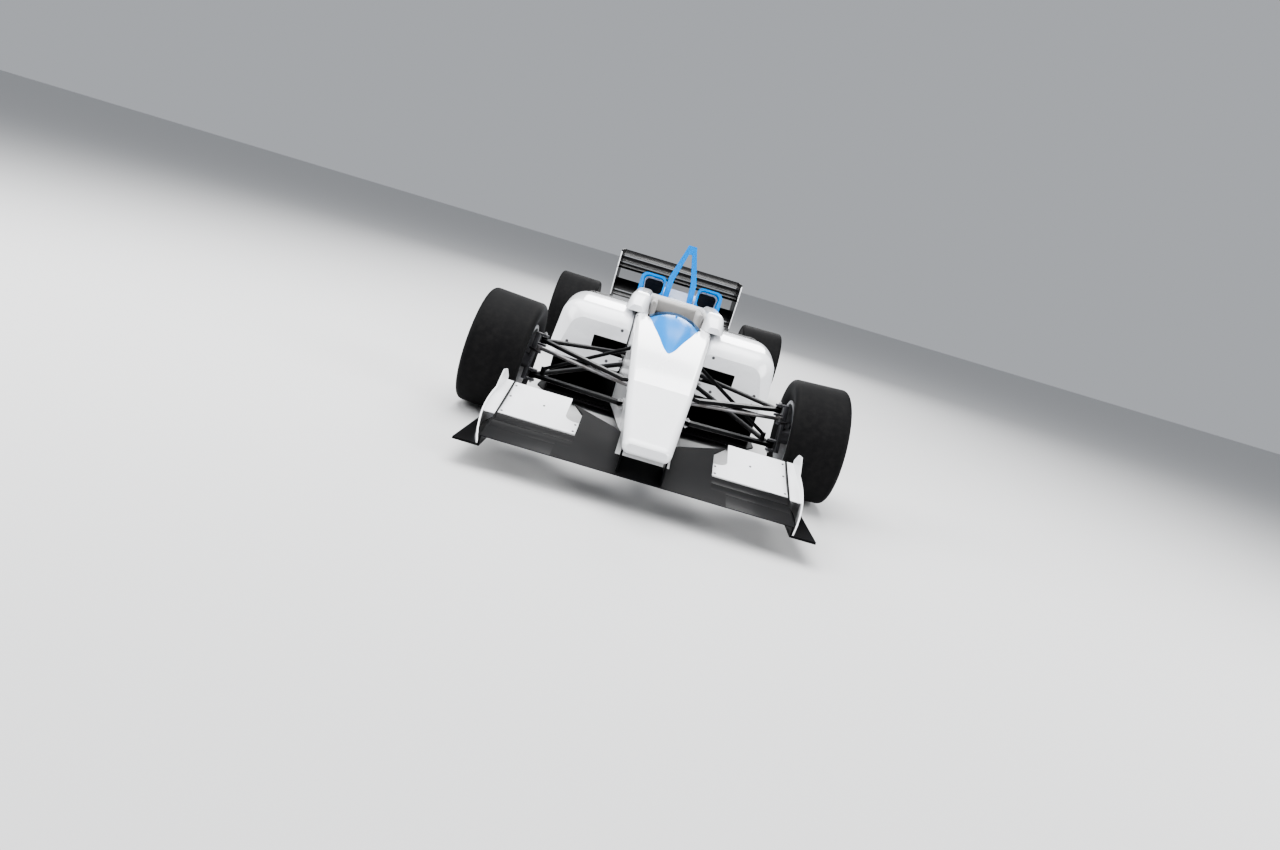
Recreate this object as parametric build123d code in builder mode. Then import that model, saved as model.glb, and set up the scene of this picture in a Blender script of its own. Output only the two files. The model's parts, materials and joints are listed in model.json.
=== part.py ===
from build123d import *
import os
from math import cos, radians, sin

# Open wheel racing car with a front and a rear wing, two side pods and a tall roll hoop.
# Millimetres, +Z up. The nose points to -Y, +X is the driver's left.
# The origin is on the floor, under the middle of the car's length.

# Lengths along the car, in front of, between and behind the axles
front_overhang = 985.0
wheelbase = 2794.0
rear_overhang = 844.0
front_axle_y = front_overhang - (front_overhang + wheelbase + rear_overhang) / 2
rear_axle_y = front_axle_y + wheelbase

# Wheels: half track at the tyre's middle, tyre and rim sizes, camber in degrees
front_half_track = 770.0
rear_half_track = 772.0
front_tyre_radius = 284.0
rear_tyre_radius = 293.0
front_tyre_width = 268.0
rear_tyre_width = 326.0
front_camber = 3.3
rear_camber = 1.0
bead_radius = 166.0
rim_wall = 5.0
flange_height = 12.0
tyre_shoulder = 26.0
sidewall_bulge = 9.0
spindle_radius = 22.0
hub_radius = 34.0
running_gap = 0.4
disc_radius = 122.0
disc_thickness = 18.0
disc_offset = 70.0
spoke_count = 10
nut_radius = 29.0
nut_flange = 8.0
nut_height = 18.0

# Steering: the kingpin runs from the lower ball to the upper ball
lower_ball = (605.0, 0.0, 222.0)
upper_ball = (592.0, 8.0, 398.0)
eye_radius = 15.0
eye_height = 30.0
eye_gap = 4.0
lug_radius = 18.0
lug_thickness = 10.0
steer_arm = 95.0
rack_height = 372.0
rack_station = -405.0
rack_radius = 11.0
rack_half = 108.0
rod_end_radius = 14.0
rod_end_height = 24.0
rod_radius = 9.0

# Shell thicknesses
tub_wall = 14.0
pod_wall = 7.0
cover_wall = 6.0
tunnel_wall = 8.0
shut_line = 1.5

# Ride height of the plank, and the floor board on it
plank_clearance = 24.0
plank_thickness = 10.0
floor_thickness = 12.0
floor_base = plank_clearance + plank_thickness
floor_top = floor_base + floor_thickness

# Stations of the body, behind the front axle
bulkhead = -450.0
cockpit_front = 520.0
cockpit_rear = 1240.0
tub_flat = 620.0
tub_end = 1600.0
deck_height = 612.0
tub_half = 216.0
inner_corner = 28.0


def behind(station):
    """Y of a place that lies so far behind the front axle."""
    return front_axle_y + station


def place(x, station, height):
    """Point from its offset to the left, its station and its height."""
    return Vector(x, behind(station), height)


def cross_plane(station):
    """Upright plane across the car, local x to the left side, local y up."""
    return Plane(origin=(0, behind(station), 0), x_dir=(1, 0, 0), z_dir=(0, -1, 0))


def side_plane(x):
    """Upright plane along the car, local x to the tail, local y up."""
    return Plane(origin=(x, 0, 0), x_dir=(0, 1, 0), z_dir=(1, 0, 0))


def section(station, left_top, right_top, left_foot, right_foot, low, high, left_round, right_round, foot_round):
    """Face across the car with four rounded corners. The four x values are its corners."""
    with BuildSketch(cross_plane(station)) as face:
        with BuildLine():
            Polyline((right_foot, low), (left_foot, low), (left_top, high), (right_top, high), close=True)
        make_face()
        for x, height, radius in (
            (left_top, high, left_round), (right_top, high, right_round),
            (left_foot, low, foot_round), (right_foot, low, foot_round),
        ):
            fillet(vertices().sort_by_distance((x, height, 0))[0], radius)
    return face.sketch.face()


def body_loft(table, inset=0.0, side=0, mode=Mode.ADD, ruled=False):
    """Loft from a table of sections. Columns: station, inner and outer half width at
    the top, inner and outer half width at the foot, foot height, top height, top
    rounding, foot rounding. Side 0 makes one body across the middle of the car. On a
    side body the top corner next to the tub has the smaller inner rounding."""
    faces = []
    for station, top_in, top_out, foot_in, foot_out, low, high, top_round, foot_round in table:
        xs = (top_out - inset, top_in + inset, foot_out - inset, foot_in + inset)
        outer_round = max(top_round - inset, 2.0)
        inner_round = max(min(top_round, inner_corner) - inset, 2.0) if side else outer_round
        rounds = (outer_round, inner_round)
        if side < 0:
            xs = (-xs[1], -xs[0], -xs[3], -xs[2])
            rounds = (inner_round, outer_round)
        faces.append(section(station, *xs, low + inset, high - inset, *rounds, max(foot_round - inset, 2.0)))
    return loft(faces, ruled=ruled, mode=mode)


def middle_table(rows):
    """Turns rows of half widths into sections that cross the middle of the car."""
    return [(s, -top, top, -foot, foot, low, high, tr, fr) for s, top, foot, low, high, tr, fr in rows]


def blade(start, end, chord, thickness):
    """Suspension leg of lens section between two points, its chord along the car."""
    run = end - start
    along = Vector(0, 1, 0) - run.normalized() * run.normalized().Y
    with BuildSketch(Plane(origin=start, x_dir=along, z_dir=run)) as lens:
        SlotOverall(chord, thickness)
    extrude(lens.sketch, amount=run.length)


def rod(start, end, radius):
    """Round bar between two points."""
    with BuildSketch(Plane(origin=start, z_dir=end - start)) as round_face:
        Circle(radius)
    extrude(round_face.sketch, amount=(end - start).length)


def eye(middle, direction, radius, height):
    """Round housing of a ball joint, about its middle."""
    plane = Plane(origin=middle, z_dir=direction)
    with BuildSketch(plane.offset(-height / 2)) as ring:
        Circle(radius)
    extrude(ring.sketch, amount=height)


def wheel_height(radius, width, camber):
    """Height of a leaning wheel's middle, with its inner shoulder on the floor."""
    flat_half = width / 2 - tyre_shoulder
    lean = radians(camber)
    return flat_half * sin(lean) + (radius - tyre_shoulder) * cos(lean) + tyre_shoulder


# Middle and outward spin axis of each wheel
wheel_specs = {}
for end, half_track, radius, width, camber, axle in (
    ("front", front_half_track, front_tyre_radius, front_tyre_width, front_camber, 0.0),
    ("rear", rear_half_track, rear_tyre_radius, rear_tyre_width, rear_camber, wheelbase),
):
    for hand, side in (("left", 1), ("right", -1)):
        middle = place(side * half_track, axle, wheel_height(radius, width, camber))
        spin = Vector(side * cos(radians(camber)), 0, sin(radians(camber)))
        wheel_specs[f"{end}_{hand}"] = (middle, spin, radius, width)

os.makedirs("parts", exist_ok=True)


def save(builder, name):
    """Labels a finished piece and writes its file."""
    builder.part.label = name
    export_step(builder.part, f"parts/{name}.step")


# Tub: columns station, half width at the top, at the foot, foot height, top height,
# top rounding, foot rounding
tub_axle_top = 510.0
tub_rows = [
    (bulkhead, 146, 118, 168, 412, 26, 34),
    (0, 178, 158, 104, tub_axle_top, 26, 40),
    (450, 207, 200, 60, deck_height - 15, 26, 40),
    (tub_flat, tub_half, tub_half, floor_top, deck_height, 26, 26),
]
with BuildPart() as tub_hull:
    body_loft(middle_table(tub_rows))
    with BuildSketch(cross_plane(tub_flat)):
        with Locations((0, (floor_top + deck_height) / 2)):
            RectangleRounded(2 * tub_half, deck_height - floor_top, 26)
    extrude(amount=-(tub_end - tub_flat))

with BuildPart() as monocoque:
    add(tub_hull.part)
    body_loft(
        [(bulkhead + tub_wall, -132, 132, -106, 106, 184, 398, 14, 20)]
        + middle_table([(s, t - tub_wall, f - tub_wall, lo + tub_wall, hi - tub_wall, 12, 20)
                        for s, t, f, lo, hi, tr, fr in tub_rows[1:]]),
        mode=Mode.SUBTRACT,
    )
    with BuildSketch(cross_plane(tub_flat)):
        with Locations((0, (floor_top + deck_height) / 2)):
            RectangleRounded(2 * (tub_half - tub_wall), deck_height - floor_top - 2 * tub_wall, 12)
    extrude(amount=-(cockpit_rear - tub_flat), mode=Mode.SUBTRACT)
    with BuildSketch(Plane.XY.offset(deck_height - 60)):
        with Locations((0, behind((cockpit_front + cockpit_rear) / 2))):
            RectangleRounded(304, cockpit_rear - cockpit_front, 60)
    extrude(amount=200, mode=Mode.SUBTRACT)
    # Slots in the sides for the track rods
    with BuildSketch(side_plane(0)):
        with Locations((behind(rack_station + 20), rack_height)):
            SlotOverall(110, 2 * rod_radius + 14)
    extrude(amount=400, both=True, mode=Mode.SUBTRACT)
save(monocoque, "monocoque")

# Nose cone, in front of the tub, with a rounded tip
nose_start = (-950, 102, 92, 222, 286, 28, 28)
nose_rows = [nose_start, (bulkhead - shut_line, 146, 118, 168, 412, 26, 34)]
tip_rows = [
    (-front_overhang, 82, 74, 238, 268, 14, 14),
    (-front_overhang + 10, 93, 84, 229, 277, 22, 22),
    nose_start,
]
with BuildPart() as nose_cone:
    body_loft(middle_table(nose_rows), ruled=True)
    body_loft(middle_table(tip_rows))
save(nose_cone, "nose_cone")

# Side pods, hollow, open at the inlet and at the tail, over black tunnels
pod_foot = 268.0
pod_front = 548.0
pod_lip = 640.0
pod_tail = 2150.0
pod_step = (pod_tail - pod_lip) / 4
pod_inner = tub_half + 3.0
pod_lip_rows = [
    (pod_front, pod_inner, 530, pod_inner, 592, pod_foot, deck_height - 106, 78, 12),
    ((pod_front + pod_lip) / 2, pod_inner, 582, pod_inner, 629, pod_foot, deck_height - 44, 92, 12),
    (pod_lip, pod_inner, 606, pod_inner, 642, pod_foot, deck_height - 24, 98, 12),
]
pod_rows = [
    pod_lip_rows[-1],
    (pod_lip + pod_step, pod_inner, 622, pod_inner, 654, pod_foot, deck_height - 2, 104, 12),
    (pod_lip + 2 * pod_step, pod_inner, 590, pod_inner, 628, pod_foot, deck_height - 31, 98, 12),
    (pod_lip + 3 * pod_step, pod_inner, 474, pod_inner, 520, pod_foot, deck_height - 92, 76, 12),
    (pod_tail, pod_inner, 300, pod_inner, 340, pod_foot, deck_height - 172, 40, 12),
]
lip_hollow_rows = [(pod_front + pod_wall,) + pod_lip_rows[0][1:]] + pod_lip_rows[1:]
pod_hollow_rows = pod_rows[:-1] + [(pod_tail + 4,) + pod_rows[-1][1:]]
inlet_outer = 404.0
inlet_low = 345.0
inlet_high = 430.0
with BuildPart() as sidepods:
    for side in (1, -1):
        body_loft(pod_lip_rows, side=side)
        body_loft(pod_rows, side=side)
    for side in (1, -1):
        body_loft(lip_hollow_rows, inset=pod_wall, side=side, mode=Mode.SUBTRACT)
        body_loft(pod_hollow_rows, inset=pod_wall, side=side, mode=Mode.SUBTRACT)
    with BuildSketch(cross_plane(pod_front - 10)):
        for side in (1, -1):
            with Locations((side * (pod_inner + inlet_outer) / 2, (inlet_low + inlet_high) / 2)):
                Rectangle(inlet_outer - pod_inner, inlet_high - inlet_low)
    extrude(amount=-120, mode=Mode.SUBTRACT)
save(sidepods, "sidepods")

radiator_station = 900.0
with BuildPart() as radiators:
    with BuildSketch(cross_plane(radiator_station)):
        with Locations(*[(side * 400, 412) for side in (1, -1)]):
            Rectangle(330, 260)
    extrude(amount=-45)
save(radiators, "radiators")

tunnel_rows = [
    (600, pod_inner, 596, pod_inner, 596, floor_top, pod_foot, 3, 3),
    (1550, pod_inner, 590, pod_inner, 590, floor_top, pod_foot, 3, 3),
    (2150, pod_inner, 330, pod_inner, 330, floor_top, pod_foot, 3, 3),
]
tunnel_hollow_rows = [
    (tunnel_rows[0][0] - 4,) + tunnel_rows[0][1:],
    tunnel_rows[1],
    (tunnel_rows[2][0] + 4,) + tunnel_rows[2][1:],
]
with BuildPart() as tunnels:
    for side in (1, -1):
        body_loft(tunnel_rows, side=side, ruled=True)
        body_loft(tunnel_hollow_rows, inset=tunnel_wall, side=side, ruled=True, mode=Mode.SUBTRACT)
save(tunnels, "tunnels")

# Floor board with its plank, and the diffuser behind it
with BuildPart() as floor_board:
    with BuildSketch(Plane.XY.offset(floor_base)):
        with BuildLine():
            right_edge = Polyline(
                (0, behind(360)), (150, behind(360)), (190, behind(560)), (600, behind(610)),
                (650, behind(700)), (650, behind(2330)), (560, behind(2430)), (560, behind(2560)),
                (0, behind(2560)),
            )
            mirror(right_edge, about=Plane.YZ)
        make_face()
    extrude(amount=floor_thickness)
    with BuildSketch(Plane.XY.offset(plank_clearance)):
        with Locations((0, behind(1450))):
            RectangleRounded(300, 2100, 30)
    extrude(amount=plank_thickness)
save(floor_board, "floor_board")

diffuser_start = 2562.0
diffuser_end = 2990.0
diffuser_half = 480.0
diffuser_rise = 150.0
with BuildPart() as diffuser:
    with BuildSketch(side_plane(0)):
        with BuildLine():
            Polyline(
                (behind(diffuser_start), floor_base),
                (behind(diffuser_end), floor_base + diffuser_rise),
                (behind(diffuser_end), floor_base + diffuser_rise + 8),
                (behind(diffuser_start), floor_top),
                close=True,
            )
        make_face()
    extrude(amount=diffuser_half, both=True)
    for x in (-476, -240, -80, 80, 240, 476):
        with BuildSketch(side_plane(x)):
            with BuildLine():
                Polyline(
                    (behind(diffuser_start), floor_base),
                    (behind(diffuser_end), floor_base + 6),
                    (behind(diffuser_end), floor_base + diffuser_rise + 4),
                    (behind(diffuser_start), floor_base + 4),
                    close=True,
                )
            make_face()
        extrude(amount=4, both=True)
save(diffuser, "diffuser")

# Cowl in front of the cockpit, along a line that climbs from the tub's top over the axle
# to the deck: columns station, half width, foot and crown over that line
climb_length = 510.0
cowl_rows = [
    (0, 10, -3, 2), (30, 26, -3, 5), (90, 45, -3, 14), (176, 66, -4.2, 24.8), (335, 105, -5, 39),
    (cockpit_front, 142, -14, 40),
]


def dome_loft(rows, mode=Mode.ADD):
    """Loft through bow shaped sections, an arc over a flat foot."""
    faces = []
    for station, half, foot, crown in rows:
        climb = tub_axle_top + (deck_height - tub_axle_top) * station / climb_length
        with BuildSketch(cross_plane(station)) as bow:
            with BuildLine():
                ThreePointArc((-half, climb + foot), (0, climb + crown), (half, climb + foot))
                Line((half, climb + foot), (-half, climb + foot))
            make_face()
        faces.append(bow.sketch.face())
    return loft(faces, mode=mode)


with BuildPart() as cowl:
    dome_loft(cowl_rows)
    add(tub_hull.part, mode=Mode.SUBTRACT)
save(cowl, "cowl")

with BuildPart() as windscreen:
    with BuildSketch(Plane.XY.offset(deck_height - 30)):
        with BuildLine():
            rim = ThreePointArc((-138, behind(523)), (0, behind(566)), (138, behind(523)))
            offset(rim, amount=3, side=Side.LEFT)
        make_face()
    extrude(amount=84)
    with BuildSketch(cross_plane(500)):
        with BuildLine():
            ThreePointArc((-150, deck_height + 2), (0, deck_height + 54), (150, deck_height + 2))
            Polyline(
                (150, deck_height + 2), (150, deck_height + 148),
                (-150, deck_height + 148), (-150, deck_height + 2),
            )
        make_face()
    extrude(amount=-100, mode=Mode.SUBTRACT)
    add(tub_hull.part, mode=Mode.SUBTRACT)
save(windscreen, "windscreen")

# Cockpit surround: two padded arms beside the driver's head, joined behind it.
# Columns as in body_loft
surround_inner = 156.0
surround_outer = 285.0
surround_nose_rows = [
    (592, 196, 244, 180, 268, deck_height, deck_height + 34, 20, 4),
    (676, 170, 260, 158, 284, deck_height, deck_height + 93, 38, 4),
    (760, 166, 262, surround_inner, surround_outer, deck_height, deck_height + 104, 42, 4),
]
surround_rows = [surround_nose_rows[-1], (cockpit_rear,) + surround_nose_rows[-1][1:]]
with BuildPart() as cockpit_surround:
    for side in (1, -1):
        body_loft(surround_nose_rows, side=side)
        body_loft(surround_rows, side=side, ruled=True)
    with BuildSketch(cross_plane(cockpit_rear - 60)):
        with Locations((0, deck_height + 44)):
            Rectangle(2 * surround_inner + 60, 88)
    extrude(amount=-60)
save(cockpit_surround, "cockpit_surround")

with BuildPart() as headrest:
    with BuildSketch(Plane.XY.offset(deck_height - 20)):
        with Locations((0, behind(cockpit_rear - 62 - 230))):
            Rectangle(2 * surround_inner - 8, 460)
        with Locations((0, behind(cockpit_rear - 62 - 290))):
            Rectangle(2 * surround_inner - 64, 460, mode=Mode.SUBTRACT)
    extrude(amount=100)
save(headrest, "headrest")

with BuildPart() as seat:
    with BuildSketch(side_plane(0)):
        with BuildLine():
            FilletPolyline(
                (behind(660), 130), (behind(700), 74), (behind(960), 74), (behind(1170), 560),
                (behind(1160), 564), (behind(952), 84), (behind(705), 84), (behind(668), 136),
                radius=4, close=True,
            )
        make_face()
    extrude(amount=170, both=True)
    for side in (1, -1):
        with BuildSketch(side_plane(side * 166)):
            with BuildLine():
                Polyline(
                    (behind(700), 76), (behind(962), 76), (behind(1172), 558), (behind(1080), 540),
                    (behind(900), 240), (behind(700), 200), close=True,
                )
            make_face()
        extrude(amount=4, both=True)
save(seat, "seat")

# Roll hoop: a deep A-frame with a flat cap, standing on the tub's deck
hoop_station = 1570.0
hoop_top = deck_height + 434.0
with BuildPart() as roll_hoop:
    with BuildSketch(cross_plane(hoop_station)):
        with BuildLine():
            outer_side = Polyline(
                (0, hoop_top), (28, hoop_top), (34, hoop_top - 28), (95, hoop_top - 236), (102, deck_height),
                (66, deck_height), (57, hoop_top - 240), (10, hoop_top - 56), (0, hoop_top - 56),
            )
            mirror(outer_side, about=Plane.YZ)
        make_face()
    extrude(amount=30, both=True)
    fillet(edges().filter_by(Axis.Y), 4)
save(roll_hoop, "roll_hoop")

# Intake scoops either side of the driver's head, blue rims in front of white ducts
scoop_front = 1250.0
scoop_inner = 104.0
scoop_rows = [
    (scoop_front, scoop_inner, 262, scoop_inner, 268, deck_height, deck_height + 204, 40, 4),
    (scoop_front + 40, scoop_inner, 258, scoop_inner, 266, deck_height, deck_height + 199, 40, 4),
]
duct_rows = [
    (scoop_front + 41, scoop_inner, 258, scoop_inner, 266, deck_height, deck_height + 199, 40, 4),
    (tub_end, scoop_inner, 186, scoop_inner, 214, deck_height, deck_height + 104, 30, 4),
]
scoop_hole_rows = [
    (scoop_front - 5, 116, 250, 116, 236, deck_height + 86, deck_height + 192, 30, 26),
    (scoop_front + 200, 118, 208, 118, 212, deck_height + 80, deck_height + 130, 18, 18),
]
with BuildPart() as scoop_rims:
    for side in (1, -1):
        body_loft(scoop_rows, side=side, ruled=True)
        body_loft(scoop_hole_rows, side=side, ruled=True, mode=Mode.SUBTRACT)
save(scoop_rims, "scoop_rims")

# Engine cover with the engine block in it, and the gearbox casing behind
cover_rows = [
    (tub_end + 1, 196, 208, floor_top, deck_height + 130, 70, 4),
    (2050, 150, 204, floor_top, 640, 70, 4),
    (2430, 108, 165, floor_top, 452, 60, 4),
]
with BuildPart() as engine_cover:
    body_loft(middle_table(cover_rows))
    inner = [
        (s, -t + cover_wall, t - cover_wall, -f + cover_wall, f - cover_wall,
         lo - 4, hi - cover_wall, tr - cover_wall, 2)
        for s, t, f, lo, hi, tr, fr in cover_rows
    ]
    inner[0] = (tub_end + 1 + cover_wall,) + inner[0][1:]
    inner[-1] = (2434,) + inner[-1][1:]
    body_loft(inner, mode=Mode.SUBTRACT)
    for side in (1, -1):
        body_loft(duct_rows, side=side, ruled=True)
        body_loft(scoop_hole_rows, side=side, ruled=True, mode=Mode.SUBTRACT)
save(engine_cover, "engine_cover")

with BuildPart() as engine_block:
    with BuildSketch(cross_plane(tub_end + 20)):
        with Locations((0, 260)):
            RectangleRounded(280, 380, 20)
    extrude(amount=-540)
save(engine_block, "engine_block")

gearbox_tail = 2960.0
socket_height = 240.0
socket_radius = 14.0
socket_depth = 40.0
tow_eye_radius = 14.0
gearbox_rows = [
    (tub_end + 581, 150, 140, 62, 380, 30, 30),
    (2430, 92, 100, 90, 360, 30, 30),
    (2794, 98, 98, 175, 375, 30, 30),
    (gearbox_tail, 62, 62, 205, 330, 24, 24),
]
with BuildPart() as gearbox:
    body_loft(middle_table(gearbox_rows))
    # Towing eye beside the socket for an outside starter
    with BuildSketch(side_plane(-50)):
        with Locations((behind(gearbox_tail + 10), socket_height)):
            RectangleRounded(84, 56, 12)
        with Locations((behind(gearbox_tail + 26), socket_height)):
            Circle(tow_eye_radius, mode=Mode.SUBTRACT)
    extrude(amount=10)
    with BuildSketch(cross_plane(gearbox_tail)):
        with Locations((0, socket_height)):
            Circle(socket_radius)
    extrude(amount=socket_depth, mode=Mode.SUBTRACT)
save(gearbox, "gearbox")


def aerofoil(le_station, le_height, te_station, te_height, sag, thickness):
    """Wing section, hollow on top, between its leading and its trailing edge."""
    lead = Vector(behind(le_station), le_height)
    trail = Vector(behind(te_station), te_height)
    chord = trail - lead
    down = Vector(chord.Y, -chord.X).normalized()
    middle = (lead + trail) / 2
    blunt = down * 3
    with BuildLine() as outline:
        ThreePointArc(lead, middle + down * sag, trail)
        Line(trail, trail + blunt)
        ThreePointArc(trail + blunt, middle + down * (sag + thickness), lead + blunt)
        Line(lead + blunt, lead)
    make_face(outline.edges())


# Front wing: one full width plane, wide plate inboard, and black feet outside
wing_half = 615.0
plate_half = 285.0
flap_outer = 609.0
wing_wall = 6.0
wing_lead = (-957, 130)
outboard_trail = (-852, 147)
plate_trail = (-540, 263)
front_slats = (((-846, 146), (-794, 160)), ((-786, 159), (-732, 173)))
with BuildPart() as front_wing:
    with BuildSketch(side_plane(0)):
        aerofoil(*wing_lead, *outboard_trail, 2, 14)
    extrude(amount=wing_half, both=True)
    with BuildSketch(side_plane(0)):
        aerofoil(*wing_lead, *plate_trail, 12, 14)
    extrude(amount=345, both=True)
    with BuildSketch(Plane.XY.offset(60)):
        for side in (1, -1):
            with BuildLine():
                Polyline(
                    (side * plate_half, behind(-853)), (side * plate_half, behind(-600)),
                    (side * 350, behind(-530)), (side * 400, behind(-500)), (side * 400, behind(-853)),
                    close=True,
                )
            make_face()
        with BuildLine():
            Polyline(
                (-112, behind(-800)), (112, behind(-800)), (112, behind(-640)), (136, behind(-625)),
                (345, behind(-545)), (345, behind(-500)), (-345, behind(-500)), (-345, behind(-545)),
                (-136, behind(-625)), (-112, behind(-640)),
                close=True,
            )
        make_face()
    extrude(amount=260, mode=Mode.SUBTRACT)
    for side in (1, -1):
        with BuildSketch(Plane.XY.offset(88)):
            with BuildLine():
                Polyline(
                    (side * 608, behind(wing_lead[0] - 3)), (side * 712, behind(wing_lead[0] - 3)),
                    (side * 700, behind(-560)), (side * 668, behind(-470)), (side * 608, behind(-470)),
                    close=True,
                )
            make_face()
        extrude(amount=9)
        for wall_x, outline in (
            (flap_outer, [(-955, 90), (-955, 124), (-852, 143), (-720, 181),
                          (-444, 262), (-444, 246), (-560, 200), (-560, 90)]),
            (plate_half - 6, [(-853, 132), (-853, 146), (-722, 182), (-600, 214), (-600, 196), (-722, 158)]),
        ):
            with BuildSketch(side_plane(side * wall_x)):
                with BuildLine():
                    Polyline(*[(behind(station), height) for station, height in outline], close=True)
                make_face()
            extrude(amount=side * wing_wall)
        for slat_lead, slat_trail in front_slats:
            with BuildSketch(side_plane(side * (plate_half - 1))):
                aerofoil(*slat_lead, *slat_trail, 2, 5)
            extrude(amount=side * (flap_outer + 1 - plate_half))
        with BuildSketch(side_plane(side * 88)):
            with BuildLine():
                Polyline(
                    (behind(-940), 138), (behind(-905), 244), (behind(-760), 249), (behind(-806), 160),
                    close=True,
                )
            make_face()
        extrude(amount=4, both=True)
    add(nose_cone.part, mode=Mode.SUBTRACT)
save(front_wing, "front_wing")

flap_lead = (-722, 175)
flap_trail = (-444, 255)
with BuildPart() as front_flaps:
    with BuildSketch(side_plane(0)):
        aerofoil(*flap_lead, *flap_trail, 6, 8)
    extrude(amount=flap_outer - 0.2, both=True)
    with BuildSketch(Plane.XY.offset(100)):
        Rectangle(2 * (plate_half + 0.4), 6000)
        for side in (1, -1):
            with Locations((side * (352 - 60), behind(-618 + 120))):
                RectangleRounded(120, 240, 40)
    extrude(amount=250, mode=Mode.SUBTRACT)
save(front_flaps, "front_flaps")

endplate_curve = ((616, wing_lead[0] - 3), (662, -740), (644, -448))
endplate_thickness = 6.0


def endplate_line(side, shift=0.0):
    """Plan line of one front end plate, bulging outboard behind the leading edge."""
    return ThreePointArc(*[(side * (x + shift), behind(station)) for x, station in endplate_curve])


# Shelf between the end plate and the wall that carries the flap
with BuildPart() as endplate_shelves:
    with BuildSketch(side_plane(0)):
        aerofoil(-750, 173, -448, 258, 6, 8)
    extrude(amount=700, both=True)
    with BuildSketch(Plane.XY.offset(50)):
        for side in (1, -1):
            with BuildLine():
                endplate_line(side, endplate_thickness / 2)
                Polyline(
                    *[(side * x, behind(station)) for x, station in (
                        (endplate_curve[0][0] + endplate_thickness / 2, endplate_curve[0][1]),
                        (flap_outer + wing_wall + 0.2, endplate_curve[0][1]),
                        (flap_outer + wing_wall + 0.2, -448),
                        (endplate_curve[2][0] + endplate_thickness / 2, endplate_curve[2][1]),
                    )]
                )
            make_face()
    extrude(amount=400, mode=Mode.INTERSECT)

with BuildPart() as front_endplates:
    for side in (1, -1):
        with BuildSketch(Plane.XY.offset(98)):
            with BuildLine():
                endplate_line(side)
                endplate_line(side, endplate_thickness)
                for x, station in (endplate_curve[0], endplate_curve[2]):
                    Line((side * x, behind(station)), (side * (x + endplate_thickness), behind(station)))
            make_face()
        extrude(amount=220)
    with BuildSketch(side_plane(0)):
        with BuildLine():
            Polyline(
                (behind(wing_lead[0] - 10), 104), (behind(-752), 184), (behind(-560), 238), (behind(-512), 308),
                (behind(-478), 308), (behind(-440), 266), (behind(-440), 400), (behind(wing_lead[0] - 10), 400),
                close=True,
            )
        make_face()
    extrude(amount=800, both=True, mode=Mode.SUBTRACT)
    add(endplate_shelves.part)
save(front_endplates, "front_endplates")

# Rear wing: columns leading edge station and height, trailing edge station and height,
# sag, thickness
rear_wing_half = 532.0
rear_elements = [
    (3196, 744, 3404, 768, 18, 16),
    (3398, 784, 3504, 824, 8, 9),
    (3498, 838, 3592, 884, 6, 8),
    (3206, 500, 3384, 522, 14, 14),
    (3378, 536, 3500, 628, 10, 10),
]
with BuildPart() as rear_wing:
    for element in rear_elements:
        with BuildSketch(side_plane(0)):
            aerofoil(*element)
        extrude(amount=rear_wing_half, both=True)
    for side in (1, -1):
        with BuildSketch(side_plane(side * 40)):
            with BuildLine():
                Polyline(
                    (behind(2800), 370), (behind(3100), 530), (behind(3330), 560), (behind(3330), 505),
                    (behind(3100), 440), (behind(2950), 300), close=True,
                )
            make_face()
        extrude(amount=4, both=True)
    add(gearbox.part, mode=Mode.SUBTRACT)
save(rear_wing, "rear_wing")

tail = wheelbase + rear_overhang
with BuildPart() as rear_endplates:
    for side in (1, -1):
        with BuildSketch(side_plane(side * rear_wing_half)):
            with BuildLine():
                Polyline(
                    (behind(3160), 730), (behind(3178), 878), (behind(tail), 886), (behind(tail), 640),
                    (behind(3540), 420), (behind(3280), 420), (behind(3190), 480), close=True,
                )
            make_face()
            fillet(vertices(), 18)
        extrude(amount=side * 8)
save(rear_endplates, "rear_endplates")

with BuildPart() as rear_light:
    with BuildSketch(cross_plane(gearbox_tail)):
        with Locations((0, 298)):
            RectangleRounded(68, 40, 10)
    extrude(amount=-34)
save(rear_light, "rear_light")

# Suspension legs, front and rear: columns outer end, inner end, chord, thickness
leg_inset = 12.0
rear_low = (615, wheelbase - 4, 190)
rear_high = (600, wheelbase + 12, 412)
front_legs = [
    (upper_ball, (160, -440, 400), 44, 17),
    (upper_ball, (190, 420, 398), 44, 17),
    (lower_ball, (150, -380, 285), 52, 18),
    (lower_ball, (190, 500, 330), 52, 18),
]
rear_legs = [
    (rear_high, (80, 2520, 340), 44, 17),
    (rear_high, (80, 2900, 330), 44, 17),
    (rear_low, (80, 2500, 140), 52, 18),
    (rear_low, (70, 2880, 212), 52, 18),
]
# Push rods: outer end and inner end
push_rods = [((560, 8, 262), (170, 100, 478)), ((566, 2778, 220), (60, 2610, 400))]
bracket_radius = 12.0
bracket_height = 44.0
with BuildPart() as wishbones:
    for side in (1, -1):
        for legs, hull in ((front_legs, tub_hull), (rear_legs, gearbox)):
            for outer_end, inner_end, chord, thickness in legs:
                start = place(side * outer_end[0], outer_end[1], outer_end[2])
                finish = place(side * inner_end[0], inner_end[1], inner_end[2])
                blade(start + (finish - start).normalized() * leg_inset, finish, chord, thickness)
                eye(start, Vector(0, 0, 1), eye_radius, eye_height)
        # Brackets on the lower legs, which carry the push rods
        for (x, station, height), inner_end in push_rods:
            eye(place(side * x, station, height - 12), Vector(0, 0, 1), bracket_radius, bracket_height)
    add(tub_hull.part, mode=Mode.SUBTRACT)
    add(gearbox.part, mode=Mode.SUBTRACT)
    add(engine_cover.part, mode=Mode.SUBTRACT)
save(wishbones, "wishbones")

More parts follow.
